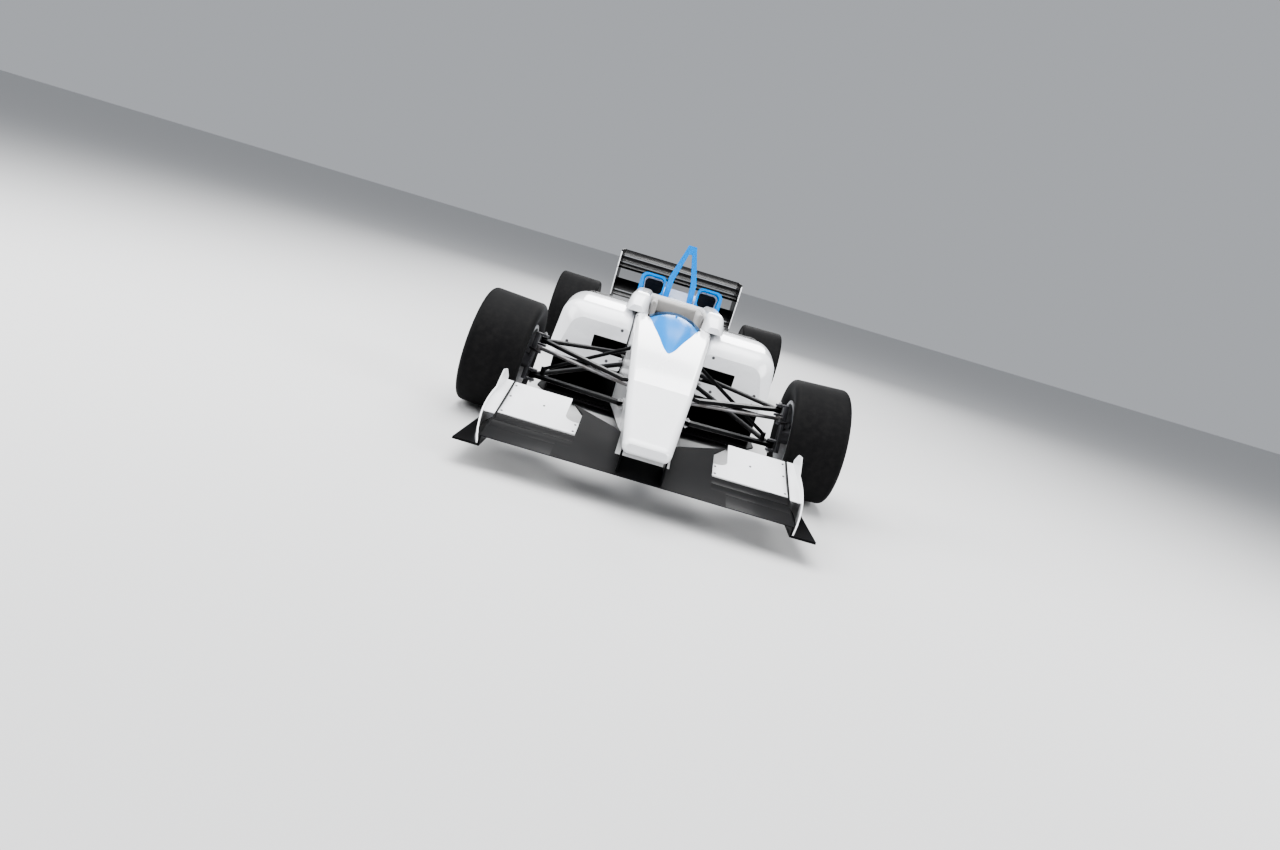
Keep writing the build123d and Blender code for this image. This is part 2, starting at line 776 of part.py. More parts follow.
with BuildPart() as pushrods:
    for side in (1, -1):
        for outer_end, inner_end in push_rods:
            start = place(side * outer_end[0], *outer_end[1:])
            rod(start, place(side * inner_end[0], *inner_end[1:]), rod_radius)
    add(tub_hull.part, mode=Mode.SUBTRACT)
    add(gearbox.part, mode=Mode.SUBTRACT)
    add(wishbones.part, mode=Mode.SUBTRACT)
    add(engine_cover.part, mode=Mode.SUBTRACT)
save(pushrods, "pushrods")


def wheel_profile_plane(corner):
    """Plane through a wheel's spin axis: local x is radial, local y points outboard."""
    middle, spin, radius, width = wheel_specs[corner]
    return Plane(origin=middle, x_dir=(0, 1, 0), z_dir=Vector(0, 1, 0).cross(spin))


def wheel_face_plane(corner, offset_out):
    """Plane square to a wheel's spin axis, so far outboard of its middle."""
    middle, spin, radius, width = wheel_specs[corner]
    return Plane(origin=middle + spin * offset_out, x_dir=(0, 1, 0), z_dir=spin)


for corner, (middle, spin, radius, width) in wheel_specs.items():
    side = 1 if spin.X > 0 else -1
    front = corner.startswith("front")
    rim_half = width / 2 - sidewall_bulge - 6
    spin_axis = Axis(origin=middle, direction=spin)

    with BuildPart() as tyre:
        with BuildSketch(wheel_profile_plane(corner)):
            with BuildLine():
                tread_half = width / 2 - tyre_shoulder
                Line((radius, -tread_half), (radius, tread_half))
                RadiusArc((radius, tread_half), (radius - tyre_shoulder, width / 2), -tyre_shoulder)
                ThreePointArc(
                    (radius - tyre_shoulder, width / 2),
                    ((radius + bead_radius) / 2 + 6, width / 2 - 3),
                    (bead_radius + flange_height + 2, rim_half - 6),
                )
                Polyline(
                    (bead_radius + flange_height + 2, rim_half - 6),
                    (bead_radius, rim_half - rim_wall - 2),
                    (bead_radius, 2 + rim_wall - rim_half),
                    (bead_radius + flange_height + 2, 6 - rim_half),
                )
                ThreePointArc(
                    (bead_radius + flange_height + 2, 6 - rim_half),
                    ((radius + bead_radius) / 2 + 6, 3 - width / 2),
                    (radius - tyre_shoulder, -width / 2),
                )
                RadiusArc((radius - tyre_shoulder, -width / 2), (radius, -tread_half), -tyre_shoulder)
            make_face()
        revolve(axis=spin_axis)
    save(tyre, f"{corner}_tyre")

    with BuildPart() as rim:
        with BuildSketch(wheel_profile_plane(corner)):
            with BuildLine():
                Polyline(
                    (bead_radius + flange_height, rim_half), (bead_radius + flange_height, rim_half - 4),
                    (bead_radius, rim_half - rim_wall), (bead_radius, rim_wall - rim_half),
                    (bead_radius + flange_height, 4 - rim_half), (bead_radius + flange_height, -rim_half),
                    (bead_radius - rim_wall, -rim_half), (bead_radius - rim_wall, rim_half),
                    close=True,
                )
            make_face()
            with Locations(((hub_radius + bead_radius - rim_wall) / 2, rim_half - 40)):
                Rectangle(bead_radius - rim_wall - hub_radius + 2, 14)
            with Locations(((spindle_radius + running_gap + hub_radius) / 2, rim_half / 2 - 42)):
                Rectangle(hub_radius - spindle_radius - running_gap, rim_half + 38)
        revolve(axis=spin_axis)
        with BuildSketch(wheel_face_plane(corner, rim_half - 20)):
            with PolarLocations(104, spoke_count):
                RectangleRounded(86, 40, 12)
        extrude(amount=-50, mode=Mode.SUBTRACT)
        # Centre nut over the hub's outer end
        with BuildSketch(wheel_face_plane(corner, rim_half - 24)):
            Circle(hub_radius)
        extrude(amount=nut_flange)
        with BuildSketch(wheel_face_plane(corner, rim_half - 24 + nut_flange)):
            RegularPolygon(nut_radius, 6)
        extrude(amount=nut_height)
    save(rim, f"{corner}_rim")

    with BuildPart() as disc:
        with BuildSketch(wheel_face_plane(corner, -disc_offset)):
            Circle(disc_radius)
            Circle(hub_radius + 20, mode=Mode.SUBTRACT)
        extrude(amount=disc_thickness)
        with BuildSketch(wheel_face_plane(corner, -disc_offset + disc_thickness - 6)):
            Circle(hub_radius + 24)
            Circle(hub_radius, mode=Mode.SUBTRACT)
        extrude(amount=6)
    save(disc, f"{corner}_disc")


def upright_frame(low_ball, high_ball, side):
    """Plane at the lower ball, z up the line through both balls, x outboard."""
    low_point = place(side * low_ball[0], *low_ball[1:])
    high_point = place(side * high_ball[0], *high_ball[1:])
    rise = high_point - low_point
    outboard = Vector(side, 0, 0) - rise.normalized() * (rise.normalized().X * side)
    return Plane(origin=low_point, x_dir=outboard, z_dir=rise), rise.length


def upright_body(frame, height):
    """Web outboard of the balls, with a forked lug above and below each of them."""
    reach = eye_height / 2 + eye_gap
    web_in = eye_radius + 8
    with BuildSketch(frame.offset(-reach - lug_thickness)) as web:
        with Locations(((web_in + 46) / 2, 0)):
            RectangleRounded(46 - web_in, 56, 6)
    extrude(web.sketch, amount=height + 2 * (reach + lug_thickness))
    for level in (-reach - lug_thickness, reach, height - reach - lug_thickness, height + reach):
        with BuildSketch(frame.offset(level)) as lug:
            Circle(lug_radius)
            with Locations((20, 0)):
                Rectangle(40, 2 * lug_radius)
        extrude(lug.sketch, amount=lug_thickness)


def caliper_body(corner, upright):
    """Brake caliper over the disc's rear edge, with its foot on the upright."""
    middle_of_disc = -disc_offset + disc_thickness / 2
    for low_edge, high_edge, near, far, half_height in (
        (middle_of_disc - 24, middle_of_disc + 24, 78, 142, 46),
        (-128, middle_of_disc - 24, 20, 100, 22),
    ):
        with BuildSketch(wheel_face_plane(corner, low_edge)) as block:
            with Locations(((near + far) / 2, 0)):
                RectangleRounded(far - near, 2 * half_height, 6)
        extrude(block.sketch, amount=high_edge - low_edge)
    with BuildSketch(wheel_face_plane(corner, -disc_offset - 5)) as slot:
        Circle(disc_radius + 5)
    extrude(slot.sketch, amount=disc_thickness + 10, mode=Mode.SUBTRACT)
    with BuildSketch(wheel_face_plane(corner, -disc_offset - 60)) as throat:
        Circle(hub_radius + 8)
    extrude(throat.sketch, amount=100, mode=Mode.SUBTRACT)
    add(upright, mode=Mode.SUBTRACT)


arm_share = (rack_height - lower_ball[2]) / (upper_ball[2] - lower_ball[2])
arm_x = lower_ball[0] + (upper_ball[0] - lower_ball[0]) * arm_share
arm_station = lower_ball[1] + (upper_ball[1] - lower_ball[1]) * arm_share - steer_arm

# Front uprights: web, forked lugs, stub axle and steering arm
for hand, side in (("left", 1), ("right", -1)):
    corner = f"front_{hand}"
    frame, height = upright_frame(lower_ball, upper_ball, side)
    with BuildPart() as upright:
        upright_body(frame, height)
        with BuildSketch(wheel_face_plane(corner, -138)):
            Circle(hub_radius + 4)
        extrude(amount=138 - hub_radius - 30)
        with BuildSketch(wheel_face_plane(corner, -138)):
            Circle(spindle_radius)
        extrude(amount=138 + 90)
        with BuildSketch(Plane.XY.offset(rack_height - rod_end_height / 2 - eye_gap - lug_thickness)):
            with BuildLine():
                Polyline(
                    (side * (arm_x - 9), behind(arm_station)), (side * (arm_x + 36), behind(-20)),
                    (side * (arm_x + 56), behind(-20)), (side * (arm_x + 9), behind(arm_station)),
                    close=True,
                )
            make_face()
            with Locations((side * arm_x, behind(arm_station))):
                Circle(13)
        extrude(amount=lug_thickness)
    save(upright, f"front_{hand}_upright")
    with BuildPart() as caliper:
        caliper_body(corner, upright.part)
    save(caliper, f"front_{hand}_caliper")

# Rear uprights with their calipers, bored for the drive shafts
shaft_gap = 0.6
with BuildPart() as rear_uprights:
    for hand, side in (("left", 1), ("right", -1)):
        frame, height = upright_frame(rear_low, rear_high, side)
        corner = f"rear_{hand}"
        upright_body(frame, height)
        with BuildSketch(wheel_face_plane(corner, -150)):
            Circle(hub_radius + 4)
        extrude(amount=150 - hub_radius - 30)
        with BuildSketch(wheel_face_plane(corner, -200)):
            Circle(spindle_radius + running_gap + shaft_gap)
        extrude(amount=200, mode=Mode.SUBTRACT)
save(rear_uprights, "rear_uprights")

with BuildPart() as rear_calipers:
    for hand in ("left", "right"):
        caliper_body(f"rear_{hand}", rear_uprights.part)
save(rear_calipers, "rear_calipers")

# Drive shafts, each in line with its wheel's spin axis
for hand in ("left", "right"):
    corner = f"rear_{hand}"
    with BuildPart() as driveshaft:
        with BuildSketch(wheel_profile_plane(corner)):
            with BuildLine():
                Polyline(
                    (0, 118), (spindle_radius + running_gap, 118), (spindle_radius + running_gap, -165),
                    (36, -172), (36, -190), (14, -240), (14, -590), (38, -640), (38, -666), (0, -666),
                    close=True,
                )
            make_face()
        revolve(axis=Axis(origin=wheel_specs[corner][0], direction=wheel_specs[corner][1]))
    save(driveshaft, f"{hand}_driveshaft")

# Steering rack with both track rods, and the steering wheel on its column
with BuildPart() as steering_rack:
    rod(place(-rack_half, rack_station, rack_height), place(rack_half, rack_station, rack_height), rack_radius)
    for side in (1, -1):
        rack_end = place(side * rack_half, rack_station, rack_height)
        rod_end = place(side * arm_x, arm_station, rack_height)
        eye(rack_end, Vector(0, 0, 1), rack_radius + 3, 2 * rack_radius + 4)
        rod(rack_end, rod_end, rod_radius)
        eye(rod_end, Vector(0, 0, 1), rod_end_radius, rod_end_height)
save(steering_rack, "steering_rack")

column_tilt = 20.0
wheel_under_deck = 92.0
column_plane = Plane(
    origin=place(0, 640, deck_height - wheel_under_deck),
    x_dir=(1, 0, 0),
    z_dir=(0, cos(radians(column_tilt)), sin(radians(column_tilt))),
)
with BuildPart() as steering_wheel:
    with BuildSketch(column_plane):
        RectangleRounded(268, 168, 60)
        with Locations((-92, 0), (92, 0)):
            SlotOverall(96, 34, rotation=90, mode=Mode.SUBTRACT)
    extrude(amount=22)
    with BuildSketch(column_plane):
        Circle(11)
    extrude(amount=-300)
save(steering_wheel, "steering_wheel")
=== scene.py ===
import bmesh
import bpy
import json
import math
from mathutils import Matrix, Vector
from mathutils.bvhtree import BVHTree


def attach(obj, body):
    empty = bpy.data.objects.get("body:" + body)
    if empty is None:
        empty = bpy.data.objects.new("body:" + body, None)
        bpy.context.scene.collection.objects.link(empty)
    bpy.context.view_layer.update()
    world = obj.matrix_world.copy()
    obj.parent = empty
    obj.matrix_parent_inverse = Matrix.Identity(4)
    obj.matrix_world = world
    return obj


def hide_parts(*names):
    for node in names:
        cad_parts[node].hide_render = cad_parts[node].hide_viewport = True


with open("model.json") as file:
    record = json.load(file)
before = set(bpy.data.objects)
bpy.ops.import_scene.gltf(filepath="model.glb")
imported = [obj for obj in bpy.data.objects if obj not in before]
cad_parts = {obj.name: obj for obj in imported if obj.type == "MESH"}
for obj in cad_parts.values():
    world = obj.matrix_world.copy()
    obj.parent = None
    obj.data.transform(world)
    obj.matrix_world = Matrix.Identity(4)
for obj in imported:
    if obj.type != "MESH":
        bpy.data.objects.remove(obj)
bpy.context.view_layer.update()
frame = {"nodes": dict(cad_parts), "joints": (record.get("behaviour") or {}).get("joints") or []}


# White body panels: tub, nose cone, side pods, engine cover and cockpit surround.
# Moulded composite skins, filled, primed and sprayed gloss white, with a film of
# dust that lies thickest low down and is drawn out along the car.
class Paint:
    """One socket of a finish. Plain maths on it adds Math nodes, node() adds the rest."""

    def __init__(self, tree, socket=None):
        self.tree = tree
        self.socket = socket

    def node(self, kind, settings=None, output=0, **inputs):
        """A new node: its settings are set first, then its sockets, each by its name or,
        as i0, i1 and so on, by its place."""
        made = self.tree.nodes.new(kind)
        for name, value in (settings or {}).items():
            setattr(made, name, value)
        for name, value in inputs.items():
            key = int(name[1:]) if name[0] == "i" and name[1:].isdigit() else name.replace("_", " ")
            if isinstance(value, Paint):
                self.tree.links.new(value.socket, made.inputs[key])
            else:
                made.inputs[key].default_value = value
        return Paint(self.tree, made.outputs[output])

    def maths(self, operation, *values):
        numbers = {f"i{place}": value for place, value in enumerate(values)}
        return self.node("ShaderNodeMath", {"operation": operation}, **numbers)

    def __add__(self, other):
        return self.maths("ADD", self, other)

    def __sub__(self, other):
        return self.maths("SUBTRACT", self, other)

    def __mul__(self, other):
        return self.maths("MULTIPLY", self, other)

    def __rsub__(self, other):
        return self.maths("SUBTRACT", other, self)

    __radd__ = __add__
    __rmul__ = __mul__

    def sine(self):
        return self.maths("SINE", self)

    def absolute(self):
        return self.maths("ABSOLUTE", self)

    def root(self):
        return self.maths("SQRT", self)

    def ripple(self, pitch):
        """Even waves along this length, from -1 to 1, with crests and dips one pitch wide."""
        return (self * (math.pi / pitch)).sine()

    def within(self, low, high):
        """0 at low, 1 at high, clamped between them."""
        return self.node("ShaderNodeMapRange", Value=self, From_Min=low, From_Max=high)

    def place(self):
        """Where the painted point lies, in m."""
        return self.node("ShaderNodeTexCoord", output="Object")

    def axis(self, name):
        return self.node("ShaderNodeSeparateXYZ", output=name, Vector=self)

    def stretched(self, x, y, z):
        return self.node("ShaderNodeVectorMath", {"operation": "MULTIPLY"}, i0=self, i1=(x, y, z))

    def cloud(self, scale, detail=3.0, rough=0.55):
        """Soft noise between 0 and 1 on this place in space."""
        return self.node("ShaderNodeTexNoise", Vector=self, Scale=scale, Detail=detail, Roughness=rough)

    def tint(self, amount, plain, other):
        """Colour plain where amount is 0 and other where it is 1."""
        first = plain if isinstance(plain, Paint) else (*plain, 1.0)
        second = other if isinstance(other, Paint) else (*other, 1.0)
        return self.node("ShaderNodeMix", {"data_type": "RGBA"}, output=2, i0=amount, i6=first, i7=second)

    def relief(self, height, depth, strength):
        """Normal that height raises by up to depth, in m."""
        return self.node("ShaderNodeBump", Height=height, Distance=depth, Strength=strength)


def finish_of(name):
    """New empty finish: its material, its shader node and a Paint to build with."""
    finish = bpy.data.materials.new(name)
    finish.use_nodes = True
    shader = finish.node_tree.nodes["Principled BSDF"]
    return finish, shader, Paint(finish.node_tree)


def lay(shader, **sockets):
    """Gives the shader's sockets their values or links."""
    for name, value in sockets.items():
        socket = shader.inputs[name.replace("_", " ")]
        if isinstance(value, Paint):
            value.tree.links.new(value.socket, socket)
        else:
            socket.default_value = value


def panel_paint(name, colour, dusty, coat=0.75, shine=0.5, inside=None, joints=()):
    """Sprayed panel under a clear coat. Inside is (half width, first y, last y, top) of a
    bare black well, and joints are (axis, value) of the thin lines where mouldings meet."""
    finish, shader, paint = finish_of(name)
    spot = paint.place()
    height = spot.axis("Z")
    film = spot.stretched(1.0, 0.4, 1.0).cloud(9.0, 5.0) * (1.0 - height.within(0.05, 0.6) * 0.75)
    specks = spot.cloud(420.0, 2.0).within(0.66, 0.78) * spot.cloud(14.0).within(0.4, 0.7)
    soiled = paint.tint(film.within(0.25, 1.0) * 0.5, colour, dusty)
    shown = paint.tint(specks * 0.35, soiled, (0.16, 0.15, 0.14))
    if inside:
        half, first, last, top = inside
        beside = spot.axis("X").absolute().within(half + 0.002, half)
        under = height.within(top + 0.001, top)
        behind = spot.axis("Y").within(first, first + 0.001)
        ahead = spot.axis("Y").within(last, last - 0.001)
        shown = paint.tint(beside * under * behind * ahead, shown, (0.012, 0.012, 0.013))
    if joints:
        gap = sum((spot.axis(axis) - value).absolute().within(0.0014, 0.0007) for axis, value in joints)
        shown = paint.tint(gap, shown, (0.03, 0.03, 0.03))
    lay(
        shader,
        Base_Color=shown,
        Roughness=0.24 + film * 0.16,
        Coat_Weight=(1.0 - film * 0.45) * coat,
        Coat_Roughness=0.06,
        IOR=1.5,
        Specular_IOR_Level=shine,
        Normal=paint.relief(spot.cloud(160.0, 1.0), 0.0004, 0.12),
    )
    return finish


white = (0.88, 0.89, 0.91)
pale_dust = (0.58, 0.56, 0.53)
white_paint = panel_paint("white_panel_paint", white, pale_dust)
tub_paint = panel_paint("white_tub_paint", white, pale_dust, inside=(0.207, -0.82, -0.08, 0.6))
cover_paint = panel_paint("white_cover_paint", white, pale_dust, joints=(("Y", 0.45), ("Z", 0.30)))


def dress(finish, *nodes):
    """Gives CAD nodes this finish."""
    for node in nodes:
        piece = frame["nodes"][node]
        if not piece.material_slots:
            piece.data.materials.append(finish)
        for held in piece.material_slots:
            held.material = finish


dress(tub_paint, "monocoque")
dress(cover_paint, "engine_cover")
dress(white_paint, "nose_cone", "sidepods", "cockpit_surround", "front_flaps", "front_endplates")

# Quarter turn fasteners that hold the panels on: dark steel buttons with a slot for a
# key, each sunk in a thin cup ring and set square to the panel's own surface.
axle_ahead = 1326.5  # the front axle stands this far ahead of the frame's origin, in mm


def at(x, station, height):
    """Point by its offset to the left, its place behind the front axle and its height, in mm."""
    return Vector((x / 1000, (station - axle_ahead) / 1000, height / 1000))


def make(name, body, finish, build, smooth=True):
    """A new piece: build fills its mesh, in place, and it rides on that body."""
    shape = bmesh.new()
    build(shape)
    bmesh.ops.recalc_face_normals(shape, faces=shape.faces)
    mesh = bpy.data.meshes.new(name)
    shape.to_mesh(mesh)
    shape.free()
    mesh.materials.append(finish)
    made = bpy.data.objects.new(name, mesh)
    bpy.context.scene.collection.objects.link(made)
    if smooth:
        mesh.shade_smooth()
        rounded = made.modifiers.new("soft_edges", "BEVEL")
        rounded.width = 0.0006
        rounded.limit_method = "ANGLE"
        rounded.angle_limit = math.radians(35)
        rounded.harden_normals = True
    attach(made, body)
    return made


def square_to(direction):
    """Two directions square to this one and to each other."""
    first = direction.orthogonal().normalized()
    return first, direction.cross(first).normalized()


def turned_piece(shape, foot, direction, outline, sides=20):
    """Round piece on a foot point. Outline is (height, radius) from foot to top."""
    first, second = square_to(direction)
    rings = []
    for height, radius in outline:
        middle = foot + direction * height
        rings.append([
            shape.verts.new(middle + (first * math.cos(turn) + second * math.sin(turn)) * radius)
            for turn in (2 * math.pi * step / sides for step in range(sides))
        ])
    for low, high in zip(rings, rings[1:]):
        for step in range(sides):
            shape.faces.new((low[step], low[step - 1], high[step - 1], high[step]))
    shape.faces.new(rings[0])
    shape.faces.new(rings[-1])


panel_trees = {}


def on_panel(node, start, direction):
    """Where a line from start meets a CAD node, and the node's outward normal there,
    or None twice where it misses."""
    if node not in panel_trees:
        held = frame["nodes"][node]
        panel_trees[node] = BVHTree.FromPolygons(
            [held.matrix_world @ corner.co for corner in held.data.vertices],
            [face.vertices for face in held.data.polygons],
        )
    spot, normal, _, _ = panel_trees[node].ray_cast(start, direction)
    if normal and normal.dot(direction) > 0:
        normal = -normal
    return spot, normal


button_steel, shader, paint = finish_of("fastener_steel")
smear = paint.place().cloud(300.0)
lay(
    shader,
    Base_Color=paint.tint(smear, (0.10, 0.10, 0.11), (0.22, 0.22, 0.23)),
    Metallic=0.9,
    Roughness=0.3 + smear * 0.2,
)

# Each button: its panel, a point clear of it, and the way from there to the panel.
button_places = []
for side in (1, -1):
    button_places += [
        ("sidepods", at(side * 261, 300, 492), Vector((0, 1, 0))),
        ("sidepods", at(side * 539, 300, 353), Vector((0, 1, 0))),
        ("sidepods", at(side * 300, 300, 306), Vector((0, 1, 0))),
        ("sidepods", at(side * 540, 300, 300), Vector((0, 1, 0))),
    ]
    for station in (760, 1100, 1440, 1780):
        button_places.append(("sidepods", at(side * 800, station, 300), Vector((-side, 0, 0))))
    for station in (1340, 1600, 1860):
        button_places.append(("sidepods", at(side * 262, station, 900), Vector((0, 0, -1))))
    for station, height in ((1650, 120), (1650, 560), (2000, 120), (2330, 120), (2330, 360)):
        button_places.append(("engine_cover", at(side * 500, station, height), Vector((-side, 0, 0))))
    for height in (215, 340):
        button_places.append(("nose_cone", at(side * 400, -474, height), Vector((-side, 0, 0))))
    button_places.append(("cockpit_surround", at(side * 400, 1180, 660), Vector((-side, 0, 0))))

button_outline = ((0, 0.0085), (0.0010, 0.0085), (0.0016, 0.0078), (0.0016, 0.0066), (0.0009, 0.0062))
slot_long = 0.0055
slot_wide = 0.0011


def fill_buttons(shape):
    for node, start, direction in button_places:
        spot, normal = on_panel(node, start, direction)
        turned_piece(shape, spot - normal * 0.0005, normal, button_outline)
        first, second = square_to(normal)
        shape.faces.new([
            shape.verts.new(spot + normal * 0.0012 + first * (slot_long * a) + second * (slot_wide * b))
            for a, b in ((-1, -1), (1, -1), (1, 1), (-1, 1))
        ])


make("quarter_turn_buttons", "root", button_steel, fill_buttons, smooth=False)

# Sky blue parts: the moulded cowl ahead of the cockpit, the roll hoop of welded steel
# tube and the rims of the two intake scoops, all sprayed in one bright colour.
blue_paint = panel_paint("sky_blue_paint", (0.0, 0.20, 0.60), (0.03, 0.22, 0.50), coat=0.06, shine=0.12)
dress(blue_paint, "cowl", "roll_hoop", "scoop_rims")


# Carbon pieces: wings, floor, tunnels, seat, legs of the suspension. Twill cloth in
# clear resin, nearly black, with its weave just showing where light rakes over it.
def woven_carbon(name, cell, gloss, dusty):
    """Carbon cloth of this cell size. Gloss is the resin's roughness, and dusty says how
    much dust lies on it."""
    finish, shader, paint = finish_of(name)
    spot = paint.place()
    across = spot.axis("X")
    along = spot.axis("Y")
    rise = spot.axis("Z")
    warp = (across + along + rise).ripple(cell)
    weft = (across - along + rise * 0.7).ripple(cell)
    twill = (warp + weft * 0.5).within(-0.6, 0.6)
    film = spot.cloud(6.0, 5.0)
    cloth = paint.tint(twill, (0.0025, 0.0025, 0.003), (0.005, 0.005, 0.0055))
    lay(
        shader,
        Base_Color=paint.tint(film.within(0.5, 0.9) * dusty, cloth, (0.035, 0.032, 0.030)),
        Roughness=gloss + twill * 0.03 + film * 0.16,
        Specular_IOR_Level=0.09,
        Coat_Weight=0.03 - film * 0.02,
        Coat_Roughness=0.08,
    )
    return finish


carbon = woven_carbon("lacquered_carbon", cell=0.003, gloss=0.30, dusty=0.2)
dull_carbon = woven_carbon("dusty_floor_carbon", cell=0.005, gloss=0.42, dusty=0.6)
dress(carbon, "front_wing", "rear_wing", "rear_endplates", "wishbones", "pushrods", "steering_wheel")
dress(dull_carbon, "tunnels", "floor_board", "diffuser", "seat")

# Windscreen, a strip of clear plastic tinted blue, glued round the front of the
# cockpit opening.
screen_glass, shader, paint = finish_of("tinted_screen")
haze = paint.place().cloud(30.0)
lay(
    shader,
    Base_Color=paint.tint(haze, (0.32, 0.52, 0.78), (0.42, 0.58, 0.78)),
    Roughness=haze * 0.12,
    Transmission_Weight=0.85,
    IOR=1.49,
)
dress(screen_glass, "windscreen")

# Headrest: a block of foam in a grey knitted cover, fixed to the wall behind the seat.
# The stuffing crowns it, so the plain block is blown up as cloth.
stitch = 0.0012
pad_cover, shader, paint = finish_of("grey_pad_cover")
spot = paint.place()
knit = spot.axis("X").ripple(stitch) * spot.axis("Y").ripple(stitch) + spot.axis("Z").ripple(stitch) * 0.5
patches = spot.cloud(22.0, 4.0)
lay(
    shader,
    Base_Color=paint.tint(patches, (0.30, 0.29, 0.28), (0.42, 0.41, 0.40)),
    Roughness=0.82 + patches * 0.12,
    Sheen_Weight=0.25,
    Normal=paint.relief(knit, 0.0004, 0.35),
)
dress(pad_cover, "headrest")


def stuffed(name, node, inset, pressure, cap, voxel):
    """Crowned pad from a CAD block: the block is shrunk, remeshed and blown up as cloth
    for twenty frames, each point is held within the cap of its start, and then the pad is
    smoothed and its faces are divided once."""
    held = frame["nodes"][node]
    mesh = held.data.copy()
    made = bpy.data.objects.new(name, mesh)
    bpy.context.scene.collection.objects.link(made)
    bpy.context.view_layer.objects.active = made
    shape = bmesh.new()
    shape.from_mesh(mesh)
    bmesh.ops.remove_doubles(shape, verts=shape.verts, dist=0.00005)
    bmesh.ops.recalc_face_normals(shape, faces=shape.faces)
    for corner in shape.verts:
        corner.co -= corner.normal * inset
    shape.to_mesh(mesh)
    shape.free()

    def settle():
        """Turns the modifiers so far into plain mesh."""
        seen = made.evaluated_get(bpy.context.evaluated_depsgraph_get())
        fresh = bpy.data.meshes.new_from_object(seen)
        made.modifiers.clear()
        made.data = fresh

    remesh = made.modifiers.new("even_cloth", "REMESH")
    remesh.mode = "VOXEL"
    remesh.voxel_size = voxel
    settle()
    before = [corner.co.copy() for corner in made.data.vertices]
    cloth = made.modifiers.new("inflate", "CLOTH")
    cloth.settings.quality = 5
    cloth.settings.use_pressure = True
    cloth.settings.uniform_pressure_force = pressure
    cloth.settings.effector_weights.gravity = 0.0
    cloth.settings.tension_stiffness = 10.0
    for step in range(1, 21):
        bpy.context.scene.frame_set(step)
    settle()
    bpy.context.scene.frame_set(1)
    for corner, start in zip(made.data.vertices, before):
        moved = corner.co - start
        if moved.length > cap:
            corner.co = start + moved.normalized() * cap
    soft = made.modifiers.new("soft", "SMOOTH")
    soft.iterations = 6
    fine = made.modifiers.new("fine", "SUBSURF")
    fine.levels = 1
    fine.render_levels = 1
    settle()
    made.data.shade_smooth()
    return made


head_pad = stuffed("head_pad", "headrest", inset=0.004, pressure=3.0, cap=0.007, voxel=0.006)
head_pad.data.materials.clear()
head_pad.data.materials.append(pad_cover)
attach(head_pad, "root")
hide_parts("headrest")


# Metal parts: the gearbox casing and the engine are bare castings, uprights, calipers,
# shafts and rack are milled or turned, and the coolers are cores painted black.
def bare_metal(name, colour, stain, roughness, grain, metallic=0.9):
    """Metal with darker stains, and with pits that are finer for a higher grain."""
    finish, shader, paint = finish_of(name)
    spot = paint.place()
    patches = spot.cloud(18.0, 5.0)
    pits = spot.cloud(grain, 2.0)
    lay(
        shader,
        Base_Color=paint.tint(patches.within(0.35, 0.8), colour, stain),
        Metallic=metallic,
        Roughness=roughness + patches * 0.2,
        Normal=paint.relief(pits, 0.0006, 0.2),
    )
    return finish


cast_metal = bare_metal("cast_casing", (0.15, 0.15, 0.16), (0.08, 0.075, 0.07), 0.45, 700.0, metallic=0.7)
dark_alloy = bare_metal("dark_machined_alloy", (0.12, 0.12, 0.13), (0.06, 0.06, 0.06), 0.32, 300.0)
caliper_alloy = bare_metal(
    "dark_anodised_alloy", (0.09, 0.09, 0.10), (0.05, 0.05, 0.05), 0.3, 500.0, metallic=0.8,
)
shaft_steel = bare_metal("dark_steel", (0.22, 0.22, 0.23), (0.10, 0.09, 0.08), 0.3, 240.0)
cooler_metal = bare_metal(
    "black_cooler_core", (0.05, 0.05, 0.055), (0.03, 0.03, 0.03), 0.5, 900.0, metallic=0.6,
)
dress(cast_metal, "gearbox", "engine_block")
dress(dark_alloy, "front_left_upright", "front_right_upright", "rear_uprights")
dress(caliper_alloy, "front_left_caliper", "front_right_caliper", "rear_calipers")
dress(shaft_steel, "left_driveshaft", "right_driveshaft", "steering_rack")
dress(cooler_metal, "radiators")


# Inlet ducts: a black carbon box behind each side pod's inlet that widens to the face
# of the radiator, so no light gets past it into the hollow pod.
def sleeve(shape, rings, wall):
    """Thin walled rectangular tube. Rings are (station, in, out, low, high), in mm."""
    rows = []
    for grow in (0.0, wall):
        for station, near, far, low, high in rings:
            rows.append([shape.verts.new(at(x, station, z)) for x, z in (
                (near - grow, low - grow), (far + grow, low - grow),
                (far + grow, high + grow), (near - grow, high + grow),
            )])
    half = len(rings)
    joined = list(zip(rows[:half], rows[1:half])) + list(zip(rows[half:], rows[half + 1:]))
    joined += [(rows[0], rows[half]), (rows[half - 1], rows[-1])]
    for first, second in joined:
        for step in range(4):
            shape.faces.new((first[step], first[step - 1], second[step - 1], second[step]))


duct_rings = (
    (549.5, 222.5, 401.5, 347.5, 427.5),
    (660, 233, 446, 326, 462),
    (893, 240, 560, 287, 537),
)
duct_wall = 1.5


def fill_ducts(shape):
    for side in (1, -1):
        rings = []
        for station, near, far, low, high in duct_rings:
            rings.append((station, *sorted((side * near, side * far)), low, high))
        sleeve(shape, rings, duct_wall)


make("inlet_ducts", "root", dull_carbon, fill_ducts)

